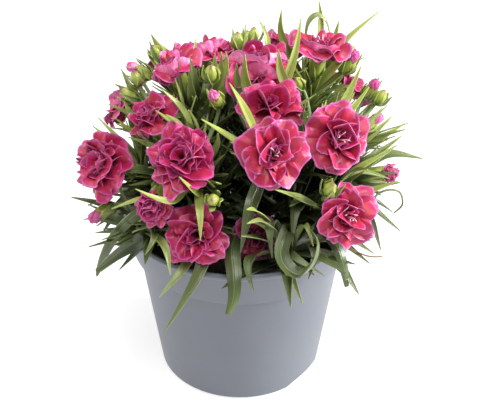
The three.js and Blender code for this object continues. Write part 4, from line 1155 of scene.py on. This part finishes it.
def make_peat():
    """The peat: spun, then lumpy on top, with crumbs and dry fibres on it."""
    edge = SOIL_LEVEL - 2
    profile = [
        (0, FLOOR_TOP + SOIL_GAP),
        (POT_FOOT_RADIUS - POT_WALL - 2.2, FLOOR_TOP + SOIL_GAP),
        (peat_radius(7.5) - 0.4, 7.5),
        (peat_radius(SHOULDER_HEIGHT - 1) - 0.3, SHOULDER_HEIGHT - 1),
        (peat_radius(SHOULDER_HEIGHT + 3), SHOULDER_HEIGHT + 3),
        (peat_radius(edge), edge),
    ]
    profile += [(radius, SOIL_LEVEL) for radius in range(SOIL_FLAT_RADIUS, 0, -SOIL_RING)]
    profile += [(0, SOIL_LEVEL)]
    bm = spun(profile, SOIL_STEPS)
    for vert in bm.verts:
        if vert.co.z > edge + 0.5:
            vert.co.z = peat_height(vert.co.x, vert.co.y)
    random = seeded(FINE_SEED)
    for crumb in range(CRUMB_COUNT):
        spot = heading(360 * random()) * (CRUMB_SPREAD * math.sqrt(random()))
        size = 0.6 + 1.5 * random() ** 2
        spot.z = peat_height(spot.x, spot.y) + 0.2 * size
        made = bmesh.ops.create_icosphere(bm, subdivisions=2, radius=size)
        for vert in made["verts"]:
            rough = 0.75 + 0.5 * noise.noise(vert.co * (1.6 / size) + spot)
            vert.co = spot + vert.co * rough
    toned = bm.verts.layers.float.new("tone")
    bm.loops.layers.uv.verify()
    for vert in bm.verts:
        vert[toned] = 0
    for face in bm.faces:
        face.smooth = True
    for fibre in range(FIBRE_COUNT):
        start = heading(360 * random()) * (FIBRE_SPREAD * math.sqrt(random()))
        start.z = peat_height(start.x, start.y) + 0.5
        length, turn = 4 + 9 * random(), 360 * random()
        lower = start + heading(turn, 18) * (length * 0.4)
        upper = start + heading(turn + around(random, 80), 8) * (length * 0.7)
        end = start + heading(turn + around(random, 80), -2) * length
        strand(bm, Curve(start, lower, upper, end), 6, 4, FIBRE_RADIUS, material=1)
    finish_piece(bm, "peat", [peat_finish(), fibre_finish("peat_fibre")], "soil")


# ---- Blooms ---------------------------------------------------------------------------------------


def add_petal(bm, seat, bend, margin, azimuth, wide, cup, ruffle, fold, tilt, grid, tone, random):
    """A petal from its claw by the bloom's axis, over its bend, to its margin, both as radius and
    height. Its round blade on a narrow claw is cupped and folded lengthwise, and waved at the margin."""
    claw = Vector((0.9 + 0.8 * random(), 0.4))
    turn = math.radians(azimuth)
    outwards = Vector((math.sin(turn), -math.cos(turn), 0))
    sideways = Vector((-math.cos(turn), -math.sin(turn), 0))
    length = (bend - claw).length * 0.55 + (margin - bend).length * 0.55 + (margin - claw).length * 0.45
    blade = 0.42 + 0.06 * random()
    swing = math.pi / 2 + math.asin(blade / (1 - blade))
    phases = [2 * math.pi * random() for _ in range(5)]
    waves = 0.8 + 0.8 * random()
    frills = 2.3 + 1.2 * random()
    roll = 0.4 + around(random, 2.6)
    lobed = 0.015 + 0.035 * random()
    skew = around(random, 0.2)
    teeth = 7 + round(4 * random())

    def place(u, v):
        v = 1 - (1 - v) ** 1.25
        round_rim = (2 * u - 1) * swing
        far, off = 1 - blade + blade * math.cos(round_rim), blade * math.sin(round_rim)
        notch = 1 + lobed * math.sin(2 * math.pi * 1.5 * u + phases[3])
        notch += 0.014 * math.sin(2 * math.pi * (frills + 1) * u + phases[4])
        jagged = 0.015 * v**8 * math.sin(2 * math.pi * teeth * u + phases[0])
        notch += jagged * math.sin(5 * u + phases[4])
        t = v * far * notch
        side = length * v * off * notch * wide
        s = 1 - t
        path = claw * (s * s) + bend * (2 * s * t) + margin * (t * t)
        along = ((bend - claw) * s + (margin - bend) * t).normalized()
        bent = cup * side / length
        curl = 1 / (1 + bent * bent)
        lift = bent * side * curl + (tilt + skew * math.sin(math.pi * v)) * side * v
        lift += fold * (math.sqrt(side * side + 0.5) - 0.7) * v
        lift += ruffle * v**1.4 * math.sin(2 * math.pi * waves * u + phases[1])
        lift += 0.75 * ruffle * v**2.4 * math.sin(2 * math.pi * frills * u + phases[2])
        lift += 0.3 * ruffle * v**4 * math.sin(2 * math.pi * (frills + 2.3) * u + phases[4])
        lift -= roll * clamp((v - 0.55) / 0.45) ** 2
        normal = outwards * -along.y + UP * along.x
        return seat @ (outwards * path.x + UP * path.y + sideways * (side * curl**0.5) + normal * lift)

    sheet(bm, *grid, place, 0, thickness=PETAL_THICKNESS, back=1, tone=tone)


def add_styles(bm, seat, rise, random):
    """The two styles and a few stamens that curl out of an open bloom's heart."""
    for style in range(STYLE_COUNT):
        azimuth = 360 * random()
        out = heading(azimuth)
        tip = heading(azimuth + around(random, 120))
        height = rise * (0.75 + 0.5 * random())
        points = (
            out * 0.6 + UP * 1,
            out * 0.9 + UP * height * 0.7,
            out * 1.6 + UP * height * 1.15,
            tip * (2.2 + 2.2 * random()) + UP * (height - 0.5 + 1.5 * random()),
        )
        curve = Curve(*[seat @ point for point in points])
        strand(bm, curve, 8, 5, STYLE_RADIUS, material=2, thinning=STYLE_TAPER)


def make_bloom(name, node, seat, width, form, petals, random, finishes):
    """A bloom of the given petals with small frilled ones in its heart, or of whorls if none are given.
    A petal's tone says how magenta it is, and above 1 how pale."""
    radius = width / 2
    bm = new_bmesh()
    magenta = 0.0 if form == "open" else 0.4
    frilled = 1.0 if form == "open" else 1.5
    for azimuth, spread, rise, wide, cup, fold, tilt, *belly in petals:
        out, up = spread * radius, rise * radius + 1
        bend = Vector((0.45 * out, (0.3 + 0.35 * rise) * radius + 2 + around(random, 2)))
        if belly:
            bend = Vector((belly[0] * radius, 0.1 * radius))
        ruffle = (0.08 + 0.05 * random()) * radius * frilled
        end, tone = Vector((out, up)), magenta + 0.6 * random()
        own = wide, cup, ruffle, fold, tilt
        add_petal(bm, seat, bend, end, azimuth, *own, FRONT_PETAL_GRID, tone, random)
    inner = 1
    if petals:
        high = petals[-1][2]
        inner = petals[-1][1] / 0.55
        whorls = OPEN_HEART if form == "open" else FULL_HEART
        grid = HEART_PETAL_GRID
    else:
        high = 0
        whorls = BLOOM_FORMS[form]
        grid = BACK_PETAL_GRID
    for whorl, (count, spread, rise, bend_out, bend_up, wide, cup, ruffle, fold) in enumerate(whorls):
        for petal in range(count):
            loose = 0.5 + 0.3 * whorl
            azimuth = FIRST_LOBE[whorl] + 360 / count * (petal + around(random, loose))
            out = spread * inner * radius * (0.99 - 0.14 * random() * min(whorl + 0.6, 1.6))
            up = (rise + high) * radius + 1 + around(random, 0.3 * radius) * min(whorl, 1.3)
            bend = Vector((bend_out * radius, (bend_up + 0.7 * high) * radius + 2 + around(random, 3)))
            cupped = cup + around(random, 0.8)
            creased = fold * (1 if random() < 0.4 else 0.15) + around(random, 0.2)
            breadth = wide * (0.9 + 0.25 * random())
            end = Vector((out, up))
            lean = around(random, 0.7)
            tone = 0.7 + 1.2 * random() if petals else magenta + 0.6 * random()
            ruffled = ruffle * radius * (1 if petals else frilled)
            own = breadth, cupped, ruffled, creased, lean
            add_petal(bm, seat, bend, end, azimuth, *own, grid, tone, random)
    if form == "open" and len(petals) >= FULL_BLOOM:
        add_styles(bm, seat, (high + 0.1) * radius + 1, random)
    finish_piece(bm, name, finishes, node)


# ---- Stems, calyces and buds ----------------------------------------------------------------------


def foot_of(place, spread):
    """Where a stem that ends at a place leaves the soil: the more it leans, the wider it starts."""
    lean = math.degrees(math.atan2(math.hypot(place.x, place.y), place.z - SOIL_LEVEL + 3))
    return Vector((place.x, place.y, 0)).normalized() * (spread * lean)


def stem_curve(end, direction, spread):
    """The free part of a stem: straight up out of the soil, then over into its end's direction."""
    collar = foot_of(end, spread) + UP * STEM_COLLAR
    span = (end - collar).length
    return Curve(collar, collar + UP * (span * 0.45), end - direction * (span * 0.3), end)


def add_stem(bm, curve, nodes):
    """A stem from its foot in the peat, swollen where a leaf pair clasps it."""
    foot = curve.point(0)
    foot.z = STEM_FOOT
    rings = [(foot, UP, 0), (foot, UP, STEM_RADIUS), (foot + UP * 12, UP, STEM_RADIUS)]
    for step in range(STEM_STEPS + 1):
        along = step / STEM_STEPS
        swell = sum(math.exp(-(((along - node) / 0.022) ** 2)) for node in nodes)
        radius = STEM_RADIUS * (0.92 + NODE_SWELL * min(swell, 1))
        rings.append((curve.point(along), curve.tangent(along), radius))
    rings.append((curve.point(1) + curve.tangent(1) * 0.6, curve.tangent(1), 0))
    limb(bm, rings, STEM_SIDES, material=1)


def add_bracts(bm, seat, count, first, shape, width, random, tone):
    """Scale leaves round a calyx or bud: shape gives the radius and height of root, bend and tip."""
    for bract in range(count):
        turn = heading(first + 360 / count * bract + around(random, 24))
        root, bend, tip = [seat @ (turn * radius + UP * height) for radius, height in shape]
        tip += (seat.to_3x3() @ turn) * around(random, 1.6)
        across = (seat.to_3x3() @ UP).cross(seat.to_3x3() @ turn)
        course = root, bend, tip, across
        shade = tone + around(random, 0.2)
        add_leaf(bm, course, width, shade, random, rows=SMALL_LEAF_ROWS, clasp=0.9)


def teeth_at(mouth, height):
    """A calyx's five teeth, on the rows of its mouth."""

    def shape(u, row):
        tooth = 1 - abs((5 * u) % 1 * 2 - 1)
        ribs = 0.02 * math.sin(2 * math.pi * 15 * u)
        return ribs, height * tooth if row in mouth else 0

    return shape


def add_calyx(bm, seat, random):
    """The ribbed cup that holds a bloom, with its teeth and the scales at its base."""
    turned(bm, CALYX_CUP, CALYX_SIDES, seat, teeth_at(CALYX_MOUTH, 2.6), material=2)
    add_bracts(bm, seat, 4, 360 * random(), [(1.6, -16.6), (5.2, -12), (4.9, -5.5)], 5, random, 0.55)


def add_bud(bm, seat, size, state, random):
    """A bud's calyx, closed or opening, with long pointed bracts at its base."""
    if state == "green":
        profile = GREEN_BUD

        def shape(u, row):
            along = row / len(profile)
            groove = abs(math.sin(math.pi * (5 * u + 0.5 * along))) ** 0.6
            return 0.3 * (groove - 0.8) * along**2 + 0.015 * math.sin(2 * math.pi * 20 * u), 0

    else:
        profile = OPENING_BUD
        shape = teeth_at(OPENING_MOUTH, 2.2)
    scaled = [(radius * size * BUD_SLIM, height * size * BUD_SHORT) for radius, height in profile]
    turned(bm, scaled, BUD_SIDES, seat, shape, material=2)
    inner = [(1.2 * size, 0.2), (4.5 * size, 3.6 * size), (4 * size, 9.6 * size)]
    outer = [(1.2 * size, -0.6), (5.2 * size, 3 * size), (6.6 * size, 12.4 * size)]
    first = 360 * random()
    add_bracts(bm, seat, 2, first, inner, 4.8 * size, random, 0.75)
    add_bracts(bm, seat, 2, first + 90, outer, 3.6 * size, random, 0.55)


def add_branch(bm, start, end, direction):
    """A bud's branch leaves its stem upwards and ends in the bud's own direction."""
    span = (end - start).length
    curve = Curve(start, start + UP * (span * 0.35), end - direction * (span * 0.35), end)
    rings = [(curve.point(0), curve.tangent(0), 0)]
    for step in range(BRANCH_STEPS + 1):
        along = step / BRANCH_STEPS
        swell = 0.35 * math.exp(-(((along - 0.55) / 0.05) ** 2))
        rings.append((curve.point(along), curve.tangent(along), BRANCH_RADIUS * (0.9 + swell)))
    rings.append((curve.point(1) + curve.tangent(1) * 0.5, curve.tangent(1), 0))
    limb(bm, rings, BRANCH_SIDES, material=1)


def make_bud_tip(name, node, seat, size, tone, finishes):
    """The furled petals that show out of an opening bud, wound round each other."""
    bm = new_bmesh()
    scaled = [(radius * size, height * size) for radius, height in BUD_TIP]
    last = len(BUD_TIP) - 1

    def shape(u, row):
        fold = (3 * u + 1.4 * row / last) % 1
        ragged = math.sin(2 * math.pi * (3 * u + 0.2)) + 0.5 * math.sin(2 * math.pi * (7 * u + tone))
        return 0.3 * (fold**1.5 - 0.6), 0.5 * ragged * (last - 3 < row < last)

    turned(bm, scaled, TIP_SIDES, seat, shape, tone=tone)
    finish_piece(bm, name, finishes, node)


def nearest_stem(stems, place, rank=0):
    """A near stem to a place, and how far along it the nearest point lies."""
    found = []
    for order, stem in enumerate(stems):
        marks = [0.1 + 0.05 * i for i in range(17)]
        distance, along = min(((stem["curve"].point(mark) - place).length, mark) for mark in marks)
        found.append((distance, order, along))
    _, order, along = sorted(found)[rank]
    return stems[order], along


def root_below(stems, place):
    """The stem that passes nearest below a place, and its point there, for a leaf to grow from."""
    stem, along = nearest_stem(stems, place - UP * CURL_DROP)
    return stem, stem["curve"].point(along)


# ---- Leaves ---------------------------------------------------------------------------------------


def add_leaf(bm, course, width, tone, random, rows=LEAF_ROWS, clasp=0.5):
    """A lance-shaped leaf along its course: channelled above, keeled below, waved and twisted."""
    root, bend, tip, across = course
    midrib = Curve(root, bend, bend, tip)
    twist = around(random, 0.9)
    wave, phase = 0.12 * random(), 2 * math.pi * random()
    channel = 0.16 + 0.14 * random()

    def place(u, v):
        share = 2 * u - 1
        along = midrib.tangent(v)
        side = (across - along * across.dot(along)).normalized()
        face = side.cross(along)
        turn = twist * (v - 0.2)
        cosine, sine = math.cos(turn), math.sin(turn)
        side, face = side * cosine + face * sine, face * cosine - side * sine
        swell = math.sin(math.pi * v**0.7) ** 0.8 if v < 1 else 0
        half = 0.5 * width * max(swell, clasp * (1 - 5 * v), 0.035)
        lift = half * (channel * share * share - 0.14 * math.exp(-((share / 0.3) ** 2)))
        lift += half * wave * share * math.sin(9 * v + phase)
        return midrib.point(v) + side * (half * share) + face * lift

    sheet(bm, LEAF_COLUMNS, rows, place, thickness=LEAF_THICKNESS, tone=clamp(tone))


def through(points):
    """A smooth way through points: its point at a share from 0 to 1."""
    points = [Vector(point) for point in points]
    spans = len(points) - 1

    def spot(share):
        span = min(int(share * spans), spans - 1)
        t = share * spans - span
        before, start = points[max(span - 1, 0)], points[span]
        end, after = points[span + 1], points[min(span + 2, spans)]
        bend = (2 * before - 5 * start + 4 * end - after) * t**2
        bend += (3 * (start - end) + after - before) * t**3
        return start + ((end - before) * t + bend) * 0.5

    return spot


def add_curled_leaf(bm, points, width, tone, hub, is_cut, random):
    """A broad leaf along a curl, its sides drawn towards and away from a hub."""
    spot, hub = through(points), Vector(hub)
    wave = 2 * math.pi * random()

    def place(u, v):
        share, middle = 2 * u - 1, spot(v)
        along = (spot(min(v + 0.01, 1)) - spot(max(v - 0.01, 0))).normalized()
        side = middle - hub
        side = (side - along * side.dot(along)).normalized()
        face = side.cross(along)
        half = 0.5 * width * (0.55 + 0.45 * math.sin(math.pi * min(v * 1.1, 1) ** 0.8))
        half *= 1 - 0.45 * clamp(v - 0.85) / 0.15 if is_cut else math.sqrt(max(1 - v**5, 0.001))
        lift = half * (0.3 * share * share - 0.12 * math.exp(-((share / 0.3) ** 2)))
        lift += 0.12 * half * share * math.sin(11 * v + wave)
        return middle + side * (half * share) + face * lift

    sheet(bm, *CURLED_GRID, place, thickness=LEAF_THICKNESS, tone=tone)


def pair_places(curve):
    """How far along a stem each of its leaf pairs stands."""
    pairs = max(3, round(curve.length() / LEAF_SPACING))
    return [PAIR_START + PAIR_SPAN * pair / pairs for pair in range(pairs)]


def paired_leaves(curve, random):
    """The leaves of a stem, in crossed pairs: long and spreading low down, shorter and steeper above."""
    leaves = []
    first = random() * 90
    for pair, along in enumerate(pair_places(curve)):
        root = curve.point(along)
        low = clamp((LOW_LEAF_TOP - root.z) / LOW_LEAF_FADE)
        for opposite in (0, 180):
            azimuth = first + pair * 90 + opposite + around(random, 40)
            lift = 34 - 16 * low + 20 * random()
            reach = (33 + 17 * low) * (0.8 + 0.4 * random())
            width = 5 + 2.6 * random()
            droop = 0.1 + 0.45 * random()
            leaves.append((root, azimuth, lift, reach, width, droop))
    return leaves


def leaf_course(root, azimuth, lift, reach, droop):
    """A paired leaf's course: out along its lift, then over by its droop, leaning out of the plant."""
    outwards = Vector((root.x, root.y, 0)) * LEAF_LEAN
    direction = (heading(azimuth, lift) + outwards).normalized()
    tip = root + direction * (reach * 0.97)
    tip.z -= droop * reach * 0.5
    across = Vector((direction.y, -direction.x, 0)).normalized()
    return root, root + direction * (reach * 0.5), tip, across


def accent_course(root, bend, tip):
    """An accent leaf's course, with its face turned up and to the front."""
    across = (tip - bend).cross(Vector((0, -0.45, 0.9))).normalized()
    return root, bend, tip, across


def in_bloom(bloom, point, room):
    """True where a point lies in the space of a bloom, drawn in a little by room."""
    local = bloom["back"] @ point
    radius = math.hypot(local.x, local.y)
    reach = bloom["radius"] - room
    if radius > reach or local.z < -2:
        return False
    low = bloom["rise"] * radius / bloom["radius"] - 1
    high = bloom["height"] * (1 - 0.5 * (radius / bloom["radius"]) ** 2)
    return low < local.z < high


def in_pot(point):
    """True in the pot's wall and in what it holds."""
    if point.z > POT_HEIGHT + 0.5:
        return False
    if point.z > SHOULDER_HEIGHT:
        share = (point.z - SHOULDER_HEIGHT) / POT_BAND_HEIGHT
        wall = POT_BAND_RADIUS + share * (POT_RIM_RADIUS - POT_BAND_RADIUS)
    else:
        wall = POT_FOOT_RADIUS + WALL_SLOPE * point.z
    radius = math.hypot(point.x, point.y)
    in_wall = wall - POT_WALL - 1.5 < radius < wall + 0.8
    return in_wall or (radius < wall and point.z < SOIL_LEVEL - 1)


def is_clear(course, blooms):
    """True if a leaf's free length stays out of the blooms and the pot."""
    root, bend, tip, _ = course
    midrib = Curve(root, bend, bend, tip)
    points = [midrib.point(0.28 + 0.09 * i) for i in range(9)]
    if any(in_pot(point) for point in points):
        return False
    near = [bloom for bloom in blooms if (bloom["place"] - bend).length < BLOOM_NEAR]
    return not any(in_bloom(bloom, point, LEAF_ROOM) for bloom in near for point in points)


def in_reach(point):
    """True where a point lies well within the space of the whole plant."""
    return all(low + 1 < value < high - 1 for low, value, high in zip(REACH_LOW, point, REACH_HIGH))


def is_beside(blooms, point):
    """True where a point lies beside every bloom."""
    return all((bloom["place"] - point).length > bloom["radius"] * YOUNG_ROOM for bloom in blooms)


def young_leaves(blooms, random):
    """Young leaves over the crown, drawn until enough stand beside the blooms: bend, tip, width, tone."""
    middle, leaves = Vector((0, 0, CROWN_MIDDLE)), []
    while len(leaves) < YOUNG_COUNT:
        azimuth = YOUNG_AZIMUTHS[0] + (YOUNG_AZIMUTHS[1] - YOUNG_AZIMUTHS[0]) * random()
        elevation = YOUNG_ELEVATIONS[0] + (YOUNG_ELEVATIONS[1] - YOUNG_ELEVATIONS[0]) * random()
        bend = middle + heading(azimuth, elevation) * (CROWN_RADIUS * (0.84 + 0.12 * random()))
        outwards = heading(azimuth + around(random, 70), elevation + around(random, 40))
        tip = bend + (outwards + UP * (0.6 * random())).normalized() * (13 + 9 * random())
        width, tone = 3 + 3.5 * random(), random()
        if in_reach(tip) and is_beside(blooms, bend) and is_beside(blooms, tip):
            leaves.append((bend, tip, width, tone))
    return leaves


def axil_leaves(curve, random):
    """Narrow young leaves that rise in tufts out of a stem's leaf axils, longer towards its end."""
    leaves = []
    for node in range(TUFT_NODES):
        along = 0.2 + 0.74 * (node + 0.6 * random()) / TUFT_NODES
        root, rising = curve.point(along), curve.tangent(along)
        for leaf in range(TUFT_LEAVES):
            spread = heading(360 * random(), 10)
            direction = (rising * (0.7 + 0.5 * random()) + spread * (0.45 + 0.5 * random())).normalized()
            reach = 15 + 15 * random() + 6 * along
            bend = root + direction * (reach * 0.5)
            tip = root + direction * reach + spread * (reach * 0.16 * random()) - UP * (2.5 * random())
            width = 2.3 + 1.6 * random()
            across = direction.cross(spread).normalized()
            leaves.append(((root, bend, tip, across), width))
    return leaves


# ---- Growing the plant ----------------------------------------------------------------------------

petal_finishes = [petal_finish("petal_face", False), petal_finish("petal_back", True), style_finish()]
stem_finishes = [leaf_finish(), stem_finish(), calyx_finish(), fibre_finish("dry_thread")]
tip_finishes = [furled_finish()]

make_pot()
make_peat()

stems, blooms = [], []
for i, (x, y, z, azimuth, elevation, width, form) in enumerate(BLOOMS):
    face = heading(azimuth, elevation)
    mouth = Vector((x, y, z)) - face * BLOOM_SEAT
    seat = seat_on(mouth, face)
    number = f"{i + 1:02d}"
    petals = [(azimuth + petal[0], *petal[1:]) for petal in OWN_PETALS.get(i + 1, [])]
    random = seeded(PETAL_SEED + i)
    make_bloom(f"petals_{number}", f"bloom_{number}", seat, width, form, petals, random, petal_finishes)
    rises = [whorl[2] * width / 2 + 1 for whorl in BLOOM_FORMS[form]]
    bloom = {"place": mouth, "back": seat.inverted(), "radius": width / 2}
    bloom["rise"], bloom["height"] = rises[0], max(rises)
    blooms.append(bloom)
    stem = {"name": f"flower_stem_{number}", "piece": f"stem_leaves_{number}", "seat": seat}
    stem["curve"] = stem_curve(mouth - face * CALYX_LENGTH, face, FLOWER_SPREAD)
    stems.append(stem)

for i, (x, y, z) in enumerate(SHOOTS):
    end = Vector((x, y, z))
    lean = (Vector((x, y, 0)) * SHOOT_LEAN + UP).normalized()
    stem = {"name": f"leafy_shoot_{i + 1}", "piece": f"shoot_leaves_{i + 1}", "seat": None}
    stem["curve"] = stem_curve(end, lean, SHOOT_SPREAD)
    stems.append(stem)

for i, stem in enumerate(stems):
    stem["bm"] = new_bmesh()
    stem["random"] = seeded(FINE_SEED + 1 + i)
    add_stem(stem["bm"], stem["curve"], pair_places(stem["curve"]))
    if stem["seat"]:
        add_calyx(stem["bm"], stem["seat"], stem["random"])

tip_count = 0
for x, y, z, azimuth, elevation, size, state in BUDS:
    direction = heading(azimuth, elevation)
    base = Vector((x, y, z)) - direction * (BUD_MIDDLE * size)
    stem, along = nearest_stem(stems, base - UP * BRANCH_DROP)
    add_branch(stem["bm"], stem["curve"].point(along), base, direction)
    seat = seat_on(base, direction)
    add_bud(stem["bm"], seat, size, state, stem["random"])
    if state == "opening":
        tone = TIP_TONES[tip_count]
        tip_count += 1
        make_bud_tip(f"furled_petals_{tip_count}", f"bud_tip_{tip_count}", seat, size, tone, tip_finishes)


def accent_ways(bend, tip):
    """The ways of a leaf from a stem under a bend to a tip, as stem and course, the nearest first."""
    for rank in range(ACCENT_RANKS):
        for drop in ACCENT_DROPS:
            stem, along = nearest_stem(stems, bend - UP * drop, rank)
            yield stem, accent_course(stem["curve"].point(along), bend, tip)


def grow_accent(bend, tip, width, tone):
    """Grows a leaf that passes under a bend to a tip, from a stem near that bend: from the first way
    that is clear, or else from the nearest."""
    clear = (way for way in accent_ways(bend, tip) if is_clear(way[1], blooms))
    stem, course = next(clear, None) or next(accent_ways(bend, tip))
    add_leaf(stem["bm"], course, width * ACCENT_WIDTH, tone, stem["random"])


for bx, by, bz, tx, ty, tz, width, tone in ACCENT_LEAVES:
    grow_accent(Vector((bx, by, bz)), Vector((tx, ty, tz)), width, tone)

for bend, tip, width, tone in young_leaves(blooms, seeded(YOUNG_SEED)):
    grow_accent(bend, tip, width, tone)

for points, width, tone, hub, is_cut in CURLED_LEAVES:
    stem, root = root_below(stems, Vector(points[0]))
    add_curled_leaf(stem["bm"], [root, *points], width, tone, hub, is_cut, stem["random"])

for points in THREADS:
    stem, root = root_below(stems, Vector(points[0]))
    spot = through([root, *points])
    rings = []
    for share in (step / THREAD_STEPS for step in range(1, THREAD_STEPS)):
        tangent = (spot(share + 0.03) - spot(share - 0.03)).normalized()
        rings.append((spot(share), tangent, THREAD_RADIUS))
    rings = [(spot(0), rings[0][1], 0), *rings, (spot(1), rings[-1][1], 0)]
    limb(stem["bm"], rings, 6, material=3)

for i, tier in enumerate(BACK_TIERS):
    random = seeded(TIER_SEED + i)
    start, end = tier["azimuths"]
    for leaf in range(tier["count"]):
        azimuth = start + (end - start) * leaf / (tier["count"] - 1) + around(random, 8)
        swing = around(random, 24)
        under = heading(azimuth) * tier["bend"][0]
        under.z = tier["bend"][1] + around(random, 10)
        tip = heading(azimuth + swing) * (tier["tip"][0] + around(random, 8))
        tip.z = tier["tip"][1] + around(random, 16)
        grow_accent(under, tip, tier["width"], 0.25 + 0.4 * tier["tip"][1] / 130)

for i, stem in enumerate(stems):
    for root, azimuth, lift, reach, width, droop in paired_leaves(stem["curve"], seeded(LEAF_SEED + i)):
        for swing, raised, part in DODGES:
            course = leaf_course(root, azimuth + swing, lift + raised, reach * part, droop)
            if not is_clear(course, blooms):
                continue
            tone = 0.12 + 0.5 * clamp((course[2].z - 90) / 100) + around(stem["random"], 0.3)
            add_leaf(stem["bm"], course, width, tone, stem["random"])
            break

for i, stem in enumerate(stems):
    random = seeded(TUFT_SEED + i)
    for course, width in axil_leaves(stem["curve"], random):
        if course[0].z > TUFT_LOW and in_reach(course[2]) and is_clear(course, blooms):
            tone = 0.25 + 0.6 * clamp((course[2].z - 110) / 80) + around(random, 0.3)
            add_leaf(stem["bm"], course, width, tone, random, rows=SMALL_LEAF_ROWS)

for stem in stems:
    finish_piece(stem["bm"], stem["piece"], stem_finishes, stem["name"])

# ---- Studio ---------------------------------------------------------------------------------------

CAMERA_DISTANCE = 0.8
CAMERA_ELEVATION = 34.15
CAMERA_AIM = Vector((0, 0, 0.102))
CAMERA_LENS = 107.9
CAMERA_SHIFT = 0.02
FLOOR_SIZE = 6
WHITE = (1, 1, 1, 1)
WORLD_LIGHT = 0.18

# Softboxes: place in metres, size and power.
SOFTBOXES = {
    "key": ((1.15, -0.1, 0.65), 0.45, 28),
    "front": ((0.15, -0.8, 1.4), 0.6, 13),
    "fill": ((-1.1, 0.2, 0.6), 0.7, 7),
    "top": ((-0.1, 0.1, 1.5), 0.5, 9),
}


def add_floor():
    """A pale floor that lights itself a little, so that it stays white."""
    finish = Finish("pale_floor")
    shade = finish.noise(finish.place(), 3.0, 2.0)
    colour = finish.ramp(shade, FLOOR_GREY)
    finish.surface(colour, 0.8, Emission_Color=WHITE, Emission_Strength=0.7)
    bm = bmesh.new()
    bmesh.ops.create_grid(bm, x_segments=4, y_segments=4, size=FLOOR_SIZE)
    mesh = bpy.data.meshes.new("floor")
    bm.to_mesh(mesh)
    bm.free()
    mesh.materials.append(finish.material)
    floor = bpy.data.objects.new("floor", mesh)
    bpy.context.scene.collection.objects.link(floor)


def add_softbox(name, place, size, power):
    """A square area light that is turned to the plant."""
    light = bpy.data.lights.new(name, "AREA")
    light.shape = "SQUARE"
    light.size = size
    light.energy = power
    lamp = bpy.data.objects.new(name, light)
    lamp.location = place
    lamp.rotation_euler = (CAMERA_AIM - Vector(place)).to_track_quat("-Z", "Y").to_euler()
    bpy.context.scene.collection.objects.link(lamp)


def add_camera():
    """The camera, above the front and turned to the plant."""
    data = bpy.data.cameras.new("camera")
    data.sensor_width = 36
    data.lens = CAMERA_LENS
    data.shift_x = CAMERA_SHIFT
    camera = bpy.data.objects.new("camera", data)
    camera.location = CAMERA_AIM + heading(0, CAMERA_ELEVATION) * CAMERA_DISTANCE
    camera.rotation_euler = (CAMERA_AIM - camera.location).to_track_quat("-Z", "Y").to_euler()
    bpy.context.scene.collection.objects.link(camera)
    bpy.context.scene.camera = camera


add_floor()
for name, (place, size, power) in SOFTBOXES.items():
    add_softbox(name, place, size, power)
add_camera()

world = bpy.data.worlds.new("studio")
world.use_nodes = True
background = world.node_tree.nodes["Background"]
background.inputs["Color"].default_value = WHITE
background.inputs["Strength"].default_value = WORLD_LIGHT
scene = bpy.context.scene
scene.world = world
scene.view_settings.view_transform = "Standard"
scene.view_settings.look = "None"
